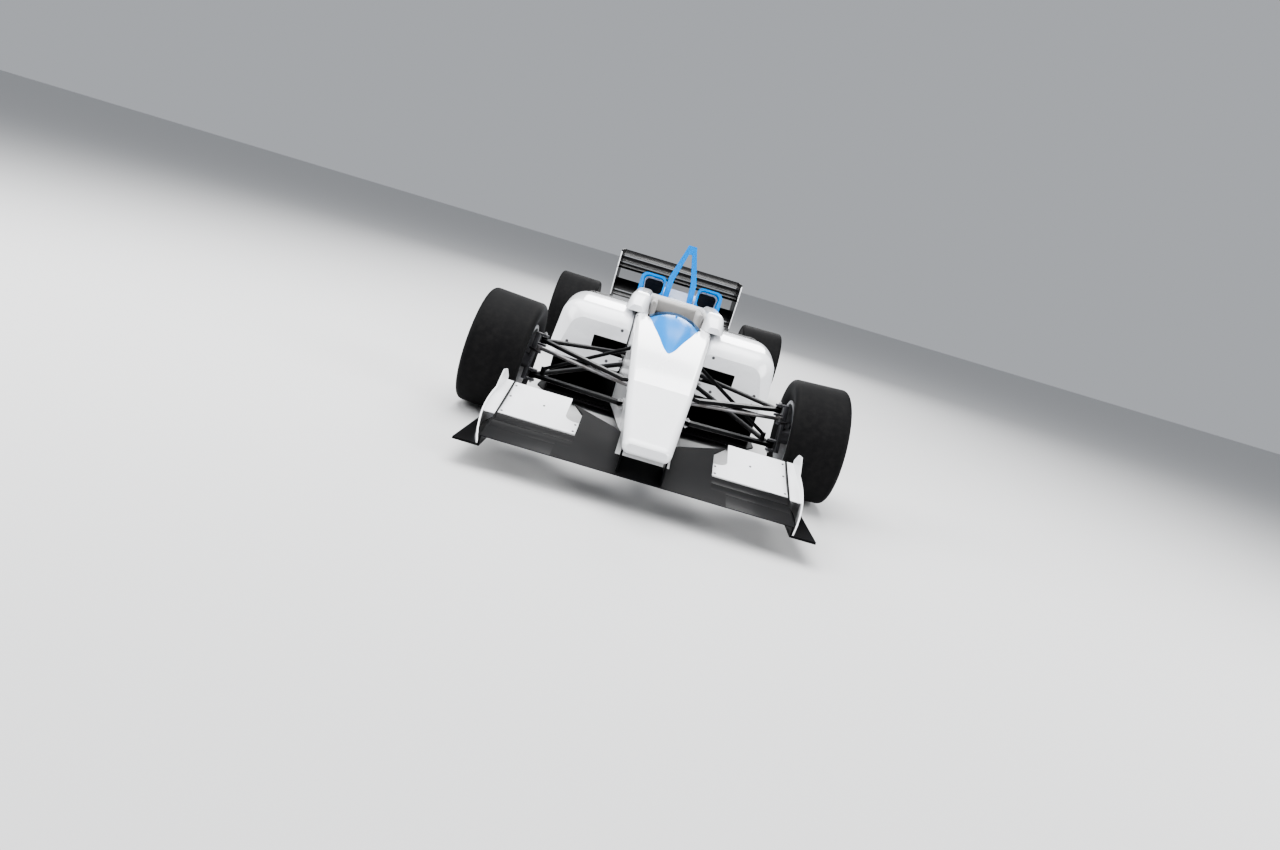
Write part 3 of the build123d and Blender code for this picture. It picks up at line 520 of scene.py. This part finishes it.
# Scoop filters: panels of fine black wire mesh across the ducts of the two intake
# scoops, each held by three thin bars, to keep stones out of the engine. The near-black
# mesh is also painted shade, standing in for the dark inside of the scoops.
scoop_offset = 176
wire_pitch = 0.0022
filter_panel = (0.116, 0.004, 0.082)
filter_bar = (0.112, 0.004, 0.003)
filter_mesh_and_shade, shader, paint = finish_of("black_wire_mesh")
spot = paint.place()
# near-black colours: the wire mesh, and also painted shade for the scoops' dark inside
wires = (spot.axis("X").ripple(wire_pitch) * spot.axis("Z").ripple(wire_pitch)).within(-0.4, 0.5)
lay(
    shader,
    Base_Color=paint.tint(wires, (0.004, 0.004, 0.004), (0.035, 0.035, 0.037)),
    Metallic=0.4,
    Roughness=0.45 + wires * 0.2,
    Normal=paint.relief(wires, 0.0008, 0.6),
)


def block(shape, middle, along, up, size):
    """Block about a middle point. Its size is along, across and up."""
    along = along.normalized()
    up = (up - along * up.dot(along)).normalized()
    turn = Matrix((along, up.cross(along), up)).transposed().to_4x4()
    scale = Matrix.Diagonal((*size, 1.0))
    bmesh.ops.create_cube(shape, size=1.0, matrix=Matrix.Translation(middle) @ turn @ scale)


right = Vector((1, 0, 0))
back = Vector((0, 1, 0))
upward = Vector((0, 0, 1))


def fill_filters(shape):
    for side in (1, -1):
        block(shape, at(side * scoop_offset, 1330, 737), right, upward, filter_panel)
        for height in (716, 737, 758):
            block(shape, at(side * scoop_offset, 1326, height), right, upward, filter_bar)


make("scoop_filters", "root", filter_mesh_and_shade, fill_filters)

# Pod louvres: a moulded black insert on each pod's crown, set slantwise over the
# radiator's outlet, with four raised blades that open to the rear.
louvre_black, shader, paint = finish_of("louvre_black")
grime = paint.place().cloud(60.0, 4.0)
lay(
    shader,
    Base_Color=paint.tint(grime, (0.008, 0.008, 0.009), (0.03, 0.029, 0.028)),
    Roughness=0.38 + grime * 0.25,
)


def crown_patch(shape, side, long_range, short_range, lifts, thickness, steps=10):
    """Strip that follows the pod's crown, lifted off it by one height at its front edge
    and another at its back edge, in mm."""
    above = at(side * 438, 1362, 700)
    long_way = Vector((side * 0.755, -0.656, 0))
    short_way = Vector((side * 0.656, 0.755, 0))
    rows = []
    for short, lift in zip(short_range, lifts):
        for deep in (0.0, thickness):
            row = []
            for step in range(steps + 1):
                run = long_range[0] + (long_range[1] - long_range[0]) * step / steps
                start = above + (long_way * run + short_way * short) / 1000
                spot, _ = on_panel("sidepods", start, -upward)
                row.append(shape.verts.new(spot + upward * (lift - deep) / 1000))
            rows.append(row)
    top_front, foot_front, top_back, foot_back = rows
    loop = (top_front, top_back, foot_back, foot_front, top_front)
    for first, second in zip(loop, loop[1:]):
        for step in range(steps):
            shape.faces.new((first[step], first[step + 1], second[step + 1], second[step]))
    for step in (0, steps):
        shape.faces.new((top_front[step], top_back[step], foot_back[step], foot_front[step]))


def fill_louvres(shape):
    for side in (1, -1):
        for short in (-50, -25, 0, 25):
            blade = (short + 1, short + 22)
            crown_patch(shape, side, (-135, 135), (short, short + 25), (1.2, 1.2), 2.4)
            crown_patch(shape, side, (-126, 126), blade, (2.0, 13.0), 1.6)
            for end in (-128, 124):
                crown_patch(shape, side, (end, end + 4), blade, (2.2, 13.0), 12.0, steps=1)


make("pod_louvres", "root", louvre_black, fill_louvres)

# Suspension fittings: bright steel brackets that hold the legs' inner ends to the tub
# and the gearbox, and the nuts on the ball joints at their outer ends.
bright_steel = bare_metal("bright_steel", (0.55, 0.55, 0.56), (0.34, 0.33, 0.32), 0.22, 500.0)


def nut(shape, foot, direction, radius, height):
    """Six sided nut with a washer under it and the end of its stud."""
    washer = height * 0.18
    turned_piece(shape, foot, direction, ((0, radius * 1.25), (washer, radius * 1.25)))
    turned_piece(shape, foot + direction * washer, direction, (
        (0, radius * 0.94), (height * 0.08, radius), (height * 0.66, radius), (height * 0.74, radius * 0.9),
    ), 6)
    stud = foot + direction * height * 0.9
    turned_piece(shape, stud, direction, ((0, radius * 0.5), (height * 0.3, radius * 0.42)), 14)


front_upper = (592, 8, 398)
front_lower = (605, 0, 222)
rear_upper = (600, 2806, 412)
rear_lower = (615, 2790, 190)

# Each leg: what it is fixed to, its ball joint, and a point inside that it runs to.
leg_ends = (
    ("monocoque", front_upper, (190, 420, 398)),
    ("monocoque", front_lower, (150, -380, 285)),
    ("monocoque", front_lower, (190, 500, 330)),
    ("gearbox", rear_upper, (80, 2520, 340)),
    ("gearbox", rear_upper, (80, 2900, 330)),
    ("gearbox", rear_lower, (80, 2500, 140)),
    ("gearbox", rear_lower, (70, 2880, 212)),
)
foot_plate = (0.074, 0.040, 0.004)
lug_plate = (0.034, 0.026, 0.004)
plate_screw = ((0, 0.0055), (0.004, 0.0055), (0.0045, 0.004))


def fill_fittings(shape):
    for side in (1, -1):
        for hull, outer, inner in leg_ends:
            start = at(side * outer[0], *outer[1:])
            run = (at(side * inner[0], *inner[1:]) - start).normalized()
            spot, normal = on_panel(hull, start + run * 0.2, run)
            along = (back - normal * back.dot(normal)).normalized()
            up = normal.cross(along)
            block(shape, spot + normal * 0.001, along, normal, foot_plate)
            for lug in (-1, 1):
                block(shape, spot + normal * 0.014 + up * lug * 0.0125, along, up, lug_plate)
                nut(shape, spot + normal * 0.017 + up * lug * 0.0145, up * lug, radius=0.006, height=0.007)
                for end in (-1, 1):
                    screw = spot + normal * 0.003 + along * end * 0.029
                    turned_piece(shape, screw, normal, plate_screw, 6)


def fill_ball_nuts(shape, side, upright, upper, lower):
    for (x, station, height), up in ((upper, 1), (lower, -1)):
        spot, _ = on_panel(upright, at(side * x, station, height + up * 90), -upward * up)
        nut(shape, spot, upward * up, radius=0.0085, height=0.010)


make("suspension_fittings", "root", bright_steel, fill_fittings, smooth=False)
for hand, side in (("left", 1), ("right", -1)):
    make(
        f"front_{hand}_ball_nuts", f"{hand}_knuckle", bright_steel,
        lambda shape: fill_ball_nuts(shape, side, f"front_{hand}_upright", front_upper, front_lower),
        smooth=False,
    )
    make(
        f"rear_{hand}_ball_nuts", "root", bright_steel,
        lambda shape: fill_ball_nuts(shape, side, "rear_uprights", rear_upper, rear_lower),
        smooth=False,
    )

# Painted highlight on the rear wing's endplates: thin white strips laid along the front
# edges, standing in for the light that glints off them.
highlight_across = 0.0092
highlight_deep = 0.0100


def fill_edge_highlight(shape):
    for side in (1, -1):
        for low, high in (((3190, 486), (3161, 728)), ((3161, 732), (3176, 862))):
            foot = at(side * 536, *low)
            top = at(side * 536, *high)
            edge = top - foot
            middle = (foot + top) / 2 + back * 0.0042
            # each white strip is a painted highlight along the endplate's front edge
            block(shape, middle, edge, back, (edge.length, highlight_across, highlight_deep))


make("endplate_tape", "root", white_paint, fill_edge_highlight)

# Harness: black woven belts that lie on the empty seat, over the shoulders, over the
# lap and up from between the legs, with a steel buckle where they meet.
webbing, shader, paint = finish_of("black_webbing")
spot = paint.place()
ribs = spot.axis("X").ripple(0.0016) * (spot.axis("Y") + spot.axis("Z")).ripple(0.0011)
worn = spot.cloud(45.0, 4.0)
lay(
    shader,
    Base_Color=paint.tint(worn, (0.012, 0.014, 0.022), (0.035, 0.037, 0.045)),
    Roughness=0.78 + worn * 0.15,
    Normal=paint.relief(ribs, 0.0004, 0.5),
)
belt_width = 0.050
belt_thickness = 0.0018
belt_steps = 8


def belt(name, stops, across):
    """Strap along a smooth line through the stops, in mm. Across is the way its width
    lies."""
    points = [at(*stop) for stop in stops]
    ends = [points[0] * 2 - points[1], *points, points[-1] * 2 - points[-2]]
    line = []
    for a, b, c, d in zip(ends, ends[1:], ends[2:], ends[3:]):
        for step in range(belt_steps):
            t = step / belt_steps
            squared = (a * 2 - b * 5 + c * 4 - d) * t ** 2
            cubed = (b * 3 - a - c * 3 + d) * t ** 3
            line.append((b * 2 + (c - a) * t + squared + cubed) / 2)
    line.append(points[-1])

    def fill(shape):
        rows = []
        for place, middle in enumerate(line):
            run = (line[min(place + 1, len(line) - 1)] - line[max(place - 1, 0)]).normalized()
            side = (across - run * across.dot(run)).normalized() * belt_width / 2
            face = run.cross(side).normalized() * belt_thickness / 2
            rows.append([shape.verts.new(middle + side * a + face * b) for a, b in (
                (-1, -0.5), (-0.92, -1), (0.92, -1), (1, -0.5), (1, 0.5), (0.92, 1), (-0.92, 1), (-1, 0.5),
            )])
        for first, second in zip(rows, rows[1:]):
            for step in range(8):
                shape.faces.new((first[step], first[step - 1], second[step - 1], second[step]))
        shape.faces.new(rows[0])
        shape.faces.new(rows[-1])

    made = make(name, "root", webbing, fill, smooth=False)
    made.data.shade_smooth()
    length = sum((b - a).length for a, b in zip(line, line[1:]))


shoulder_line = (
    (80, 1160, 571), (78, 1148, 558), (72, 1096, 441), (56, 1030, 289),
    (34, 965, 140), (22, 936, 98), (12, 908, 96),
)
lap_line = ((158, 960, 122), (140, 948, 104), (100, 925, 93), (60, 908, 94), (26, 900, 97))
for hand, side in (("left", 1), ("right", -1)):
    shoulder = [(side * x, station, height) for x, station, height in shoulder_line]
    lap = [(side * x, station, height) for x, station, height in lap_line]
    belt(f"{hand}_shoulder_belt", shoulder, right)
    belt(f"{hand}_lap_belt", lap, back)
belt("crotch_belt", ((0, 770, 87), (0, 800, 88), (0, 850, 90), (0, 878, 97)), right)

buckle_outline = ((0, 0.029), (0.012, 0.029), (0.015, 0.026), (0.015, 0.019), (0.019, 0.018))
buckle_tongue = (0.016, 0.030, 0.003)
buckle_lever = (0.040, 0.007, 0.005)
belt_slide = (0.058, 0.030, 0.003)
seat_back_face = Vector((0, -0.918, 0.398))


def fill_buckle(shape):
    foot = at(0, 895, 97)
    turned_piece(shape, foot, upward, buckle_outline, 32)
    for quarter in range(4):
        turn = math.radians(45 + 90 * quarter)
        arm = Vector((math.cos(turn), math.sin(turn), 0))
        block(shape, foot + arm * 0.034 + upward * 0.005, arm, upward, buckle_tongue)
    block(shape, foot + upward * 0.021, right, upward, buckle_lever)
    for side in (1, -1):
        for x, station, height, face in ((60, 1040, 316, seat_back_face), (100, 925, 96, upward)):
            block(shape, at(side * x, station, height) + face * 0.003, right, face, belt_slide)


make("harness_buckle", "root", bright_steel, fill_buckle)

# Steering wheel fittings: rubber grips, a display, and coloured buttons and knobs, all
# screwed to the side that faces the seat. Behind the plate are two black paddles and
# the release hub.
wheel_middle = at(0, 640, 520)
column_tilt = math.radians(20)
to_seat = Vector((0, math.cos(column_tilt), math.sin(column_tilt)))
wheel_up = Vector((0, -math.sin(column_tilt), math.cos(column_tilt)))


def on_wheel(x, height, depth):
    """Point by its offset to the left, its height up the wheel and its depth towards the
    seat, in mm."""
    return wheel_middle + (right * x + wheel_up * height + to_seat * depth) / 1000


grip_rubber, shader, paint = finish_of("black_grip_rubber")
spot = paint.place()
dimple_rate = 1400.0
dimples = (spot.axis("X") * dimple_rate).sine() * (spot.axis("Z") * dimple_rate).sine()
lay(
    shader,
    Base_Color=paint.tint(spot.cloud(30.0), (0.012, 0.012, 0.013), (0.03, 0.03, 0.03)),
    Roughness=0.7 + dimples * 0.06,
    Normal=paint.relief(dimples, 0.0005, 0.5),
)
grip_outline = (
    (0, 0.0125), (0.003, 0.0160), (0.020, 0.0172), (0.040, 0.0158), (0.058, 0.0170),
    (0.078, 0.0158), (0.098, 0.0172), (0.113, 0.0160), (0.116, 0.0125),
)


def fill_grips(shape):
    for side in (1, -1):
        turned_piece(shape, on_wheel(side * 121.5, -58, 11), wheel_up, grip_outline, 28)


make("wheel_grips", "helm", grip_rubber, fill_grips)


def fill_display(shape):
    block(shape, on_wheel(0, 34, 23.0), right, to_seat, (0.092, 0.052, 0.003))


screen_dark, shader, paint = finish_of("display_glass")
spot = paint.place()
text_lines = spot.axis("Z").ripple(0.004).within(0.2, 0.6)
letters = (spot.axis("X") * 520.0).sine().within(-0.3, 0.2)
text = text_lines * letters
lay(
    shader,
    Base_Color=paint.tint(text * 0.3, (0.012, 0.018, 0.016), (0.06, 0.12, 0.10)),
    Roughness=0.12 + text * 0.06,
    Coat_Weight=1.0,
)
make("wheel_display", "helm", screen_dark, fill_display)

wheel_face = 21.6
wheel_button = ((0, 0.0065), (0.0045, 0.0065), (0.0055, 0.005))


def fill_wheel_buttons(shape, places):
    for x, height in places:
        turned_piece(shape, on_wheel(x, height, wheel_face), to_seat, wheel_button, 18)


for name, colour, places in (
    ("red", (0.60, 0.02, 0.02), ((-62, 44), (62, -24))),
    ("green", (0.02, 0.38, 0.08), ((62, 44), (-66, 18))),
    ("yellow", (0.72, 0.50, 0.03), ((-62, -24), (66, 18))),
    ("blue", (0.03, 0.12, 0.55), ((-40, -52), (40, -52))),
):
    finish, shader, paint = finish_of(f"{name}_button_plastic")
    worn = paint.place().cloud(220.0)
    darker = tuple(part * 0.6 for part in colour)
    lay(shader, Base_Color=paint.tint(worn * 0.5, colour, darker), Roughness=0.3 + worn * 0.25)
    make(
        f"{name}_wheel_buttons", "helm", finish,
        lambda shape: fill_wheel_buttons(shape, places),
    )

knob_outline = ((0, 0.0115), (0.002, 0.0115), (0.0025, 0.0085), (0.011, 0.0078), (0.012, 0.0068))
knob_pointer = (0.008, 0.0016, 0.0012)
paddle_plate = (0.070, 0.038, 0.0025)
paddle_arm = (0.060, 0.016, 0.0030)
hub_outline = ((0, 0.020), (0.004, 0.032), (0.014, 0.032), (0.018, 0.026), (0.0238, 0.026))


def fill_knobs(shape):
    for x, height in ((0, -14), (-28, -20), (28, -20)):
        turned_piece(shape, on_wheel(x, height, wheel_face), to_seat, knob_outline, 12)
        block(shape, on_wheel(x, height + 3, 34), wheel_up, to_seat, knob_pointer)
    for side in (1, -1):
        block(shape, on_wheel(side * 92, 26, -7), wheel_up, to_seat, paddle_plate)
        block(shape, on_wheel(side * 62, 12, -6), right, to_seat, paddle_arm)
    turned_piece(shape, on_wheel(0, 0, -24), to_seat, hub_outline, 28)


make("wheel_knobs_and_paddles", "helm", louvre_black, fill_knobs)

# Nose and wing fittings: small black bolts that hold the flaps and endplates, and a
# catch, painted with the cowl, in front of the cockpit opening.
flap_bolt = ((0, 0.0052), (0.0022, 0.0052), (0.0030, 0.0040))
front_plate_bolt = ((0, 0.0048), (0.0018, 0.0048), (0.0024, 0.0038))
rear_plate_bolt = ((0, 0.0055), (0.0018, 0.0055), (0.0024, 0.0042))
flap_places = ((300, -700), (300, -640), (452, -560), (598, -700), (598, -560), (598, -470))
front_plate_places = ((-900, 122), (-760, 190), (-620, 236), (-470, 292))
rear_plate_places = (
    (3240, 756), (3360, 764), (3440, 804), (3545, 862), (3250, 510), (3340, 516), (3440, 588),
)


def panel_bolt(shape, node, start, direction, outline, sides):
    """Bolt head on a panel where a line from start meets it, if it does."""
    spot, normal = on_panel(node, start, direction)
    if normal:
        turned_piece(shape, spot - normal * 0.0004, normal, outline, sides)


def fill_wing_bolts(shape):
    for side in (1, -1):
        inward = right * -side
        for x, station in flap_places:
            panel_bolt(shape, "front_flaps", at(side * x, station, 420), -upward, flap_bolt, 6)
        for station, height in front_plate_places:
            start = at(side * 760, station, height)
            panel_bolt(shape, "front_endplates", start, inward, front_plate_bolt, 12)
        for station, height in rear_plate_places:
            start = at(side * 700, station, height)
            panel_bolt(shape, "rear_endplates", start, inward, rear_plate_bolt, 12)


make("wing_bolts", "root", button_steel, fill_wing_bolts, smooth=False)


def fill_catch(shape):
    spot, normal = on_panel("cowl", at(0, 470, 800), -upward)
    block(shape, spot + normal * 0.003, back, normal, (0.022, 0.012, 0.007))


make("cowl_catch", "root", blue_paint, fill_catch)

# Gearbox trim: raised joint flanges round the cast casing, where its halves are held
# together, each with a row of nuts on it.
flange_half = 9
flange_rise = 0.006
flange_steps = 48


def fill_flange(shape):
    for station in (2500, 2690):
        middle = at(0, station, 250)
        ring = []
        for step in range(flange_steps):
            turn = 2 * math.pi * step / flange_steps
            way = Vector((math.cos(turn), 0, math.sin(turn)))
            spot, normal = on_panel("gearbox", middle + way * 0.30, -way)
            if normal:
                ring.append((spot, way))
        rows = []
        for offset, lift in (
            (-flange_half, -0.002), (-flange_half, flange_rise),
            (flange_half, flange_rise), (flange_half, -0.002),
        ):
            rows.append([shape.verts.new(spot + way * lift + back * offset / 1000) for spot, way in ring])
        for first, second in zip(rows, rows[1:] + rows[:1]):
            for step in range(len(ring)):
                shape.faces.new((first[step], first[step - 1], second[step - 1], second[step]))
        for spot, way in ring[::4]:
            nut(shape, spot + way * flange_rise, way, radius=0.0052, height=0.006)


make("gearbox_flanges", "root", cast_metal, fill_flange, smooth=False)

# Rear light: lamps in a box on the tail, behind a lens moulded in red plastic with
# upright ribs.
lamp_red, shader, paint = finish_of("red_lens")
ribs = paint.place().axis("X").ripple(0.006)
lay(
    shader,
    Base_Color=paint.tint(ribs.within(-1.0, 1.0), (0.28, 0.004, 0.004), (0.55, 0.012, 0.012)),
    Roughness=0.2 + ribs * 0.05,
    Coat_Weight=0.8,
    Normal=paint.relief(ribs, 0.0008, 0.5),
)
dress(lamp_red, "rear_light")

# Wheels: slick tyres on satin silver rims, with an iron disc inboard. Each finish
# turns with its wheel, so its rings are drawn about that wheel's own spin axis.
wheel_spins = {
    joint["name"].replace("_spin", ""): (Vector(joint["pos_m"]), Vector(joint["axis"]))
    for joint in frame["joints"]
    if joint["name"].endswith("_spin")
}


def from_axis(paint, middle, spin):
    """Distance from a wheel's spin axis, place along it, and place from its middle."""
    kind = "ShaderNodeVectorMath"
    local = paint.node(kind, {"operation": "SUBTRACT"}, i0=paint.place(), i1=middle)
    along = paint.node(kind, {"operation": "DOT_PRODUCT"}, output="Value", i0=local, i1=spin)
    reach = paint.node(kind, {"operation": "LENGTH"}, output="Value", i0=local)
    return (reach * reach - along * along).root(), along, local


for corner, (middle, spin) in wheel_spins.items():
    tread_radius = 0.284 if corner.startswith("front") else 0.293
    rubber, shader, paint = finish_of(f"{corner}_slick_rubber")
    radius, along, local = from_axis(paint, middle, spin)
    tread = radius.within(tread_radius - 0.012, tread_radius - 0.002)
    scuffs = local.cloud(38.0, 6.0, 0.65)
    bands = (along * 95.0).sine() * 0.5 + (along * 41.0).sine() * 0.5
    rubbed = scuffs.within(0.4, 0.75) * 0.6 + bands * 0.08
    worn = paint.tint(rubbed, (0.006, 0.006, 0.0065), (0.018, 0.0175, 0.017))
    dust = local.cloud(5.0, 4.0)
    wall = paint.tint(dust.within(0.4, 0.8) * 0.6, (0.005, 0.005, 0.0055), (0.018, 0.017, 0.016))
    rings = radius.ripple(0.0035) * (1.0 - tread)
    lay(
        shader,
        Base_Color=paint.tint(tread, wall, worn),
        Roughness=0.60 + scuffs * 0.28 * tread,
        Specular_IOR_Level=0.12,
        Normal=paint.relief(rings * 0.25 + scuffs * tread * 0.8, 0.0012, 0.35),
    )
    dress(rubber, f"{corner}_tyre")

    alloy, shader, paint = finish_of(f"{corner}_satin_alloy")
    radius, _, local = from_axis(paint, middle, spin)
    turned = radius.ripple(0.0009)
    dust = local.cloud(26.0, 4.0)
    lay(
        shader,
        Base_Color=paint.tint(dust.within(0.35, 0.8) * 0.7, (0.48, 0.49, 0.51), (0.16, 0.145, 0.13)),
        Metallic=0.95,
        Roughness=0.28 + dust * 0.25,
        Normal=paint.relief(turned, 0.0002, 0.15),
    )
    dress(alloy, f"{corner}_rim")

    iron, shader, paint = finish_of(f"{corner}_disc_iron")
    radius, _, _ = from_axis(paint, middle, spin)
    grooves = radius.ripple(0.0012)
    swept = radius.within(0.072, 0.078)
    lay(
        shader,
        Base_Color=paint.tint(swept, (0.10, 0.075, 0.06), (0.34, 0.33, 0.32)),
        Metallic=0.9,
        Roughness=0.55 - swept * 0.25,
        Normal=paint.relief(grooves * swept, 0.0002, 0.4),
    )
    dress(iron, f"{corner}_disc")

# Tyre valves: one rubber stem with a plastic cap, pulled through a hole near the edge
# of each rim's outer side.
valve_outline = ((0, 0.0055), (0.008, 0.0050), (0.010, 0.0036), (0.024, 0.0036), (0.025, 0.0030))
valve_radius = 0.150
valve_turn = 0.6


def fill_valve(shape, corner):
    middle, spin = wheel_spins[corner]
    out = spin if spin.x * middle.x > 0 else -spin
    first, second = square_to(out)
    way = first * math.cos(valve_turn) + second * math.sin(valve_turn)
    spot, normal = on_panel(f"{corner}_rim", middle + out * 0.30 + way * valve_radius, -out)
    if normal:
        turned_piece(shape, spot - out * 0.002, out, valve_outline, 14)


for corner in wheel_spins:
    make(f"{corner}_valve", f"{corner}_wheel", grip_rubber, lambda shape: fill_valve(shape, corner))

# Studio: a wide pale floor, even light all round and four soft boxes, with the camera
# at the photograph's own place, a little off the nose and rolled.
floor_finish, shader, _ = finish_of("pale_floor")
lay(shader, Base_Color=(0.62, 0.62, 0.62, 1.0), Roughness=0.7)
floor_mesh = bpy.data.meshes.new("studio_floor")
shape = bmesh.new()
bmesh.ops.create_grid(shape, x_segments=1, y_segments=1, size=40.0)
shape.to_mesh(floor_mesh)
shape.free()
floor_mesh.materials.append(floor_finish)
studio_floor = bpy.data.objects.new("studio_floor", floor_mesh)
bpy.context.scene.collection.objects.link(studio_floor)

studio = bpy.data.worlds.new("soft_studio")
bpy.context.scene.world = studio
studio.use_nodes = True
glow = studio.node_tree.nodes["Background"].inputs
glow["Color"].default_value = (0.86, 0.89, 0.94, 1.0)
glow["Strength"].default_value = 0.45

# Each soft box: its name, place, aim and width in m, and its power in watts.
for name, spot, aim, size, power in (
    ("overhead_softbox", (-1.0, -0.5, 6.0), (0, 0, 0.3), 6.0, 760.0),
    ("left_softbox", (5.5, -4.0, 3.2), (0, 0, 0.4), 3.5, 380.0),
    ("right_softbox", (-5.5, -3.0, 3.6), (0, 0, 0.4), 3.5, 320.0),
    ("tail_softbox", (0.5, 6.5, 3.6), (0, 0, 0.5), 3.5, 260.0),
):
    lamp = bpy.data.lights.new(name, "AREA")
    lamp.size = size
    lamp.energy = power
    holder = bpy.data.objects.new(name, lamp)
    holder.location = spot
    holder.rotation_euler = (Vector(aim) - Vector(spot)).to_track_quat("-Z", "Y").to_euler()
    bpy.context.scene.collection.objects.link(holder)

lens = bpy.data.cameras.new("photo_view")
lens.sensor_width = 36.0
lens.lens = 22.637
camera = bpy.data.objects.new("photo_view", lens)
camera.location = (-0.11675, -5.18606, 0.96670)
camera.rotation_euler = (1.348868, -0.285624, 0.041349)
bpy.context.scene.collection.objects.link(camera)
bpy.context.scene.camera = camera
bpy.context.scene.view_settings.look = "AgX - Medium High Contrast"
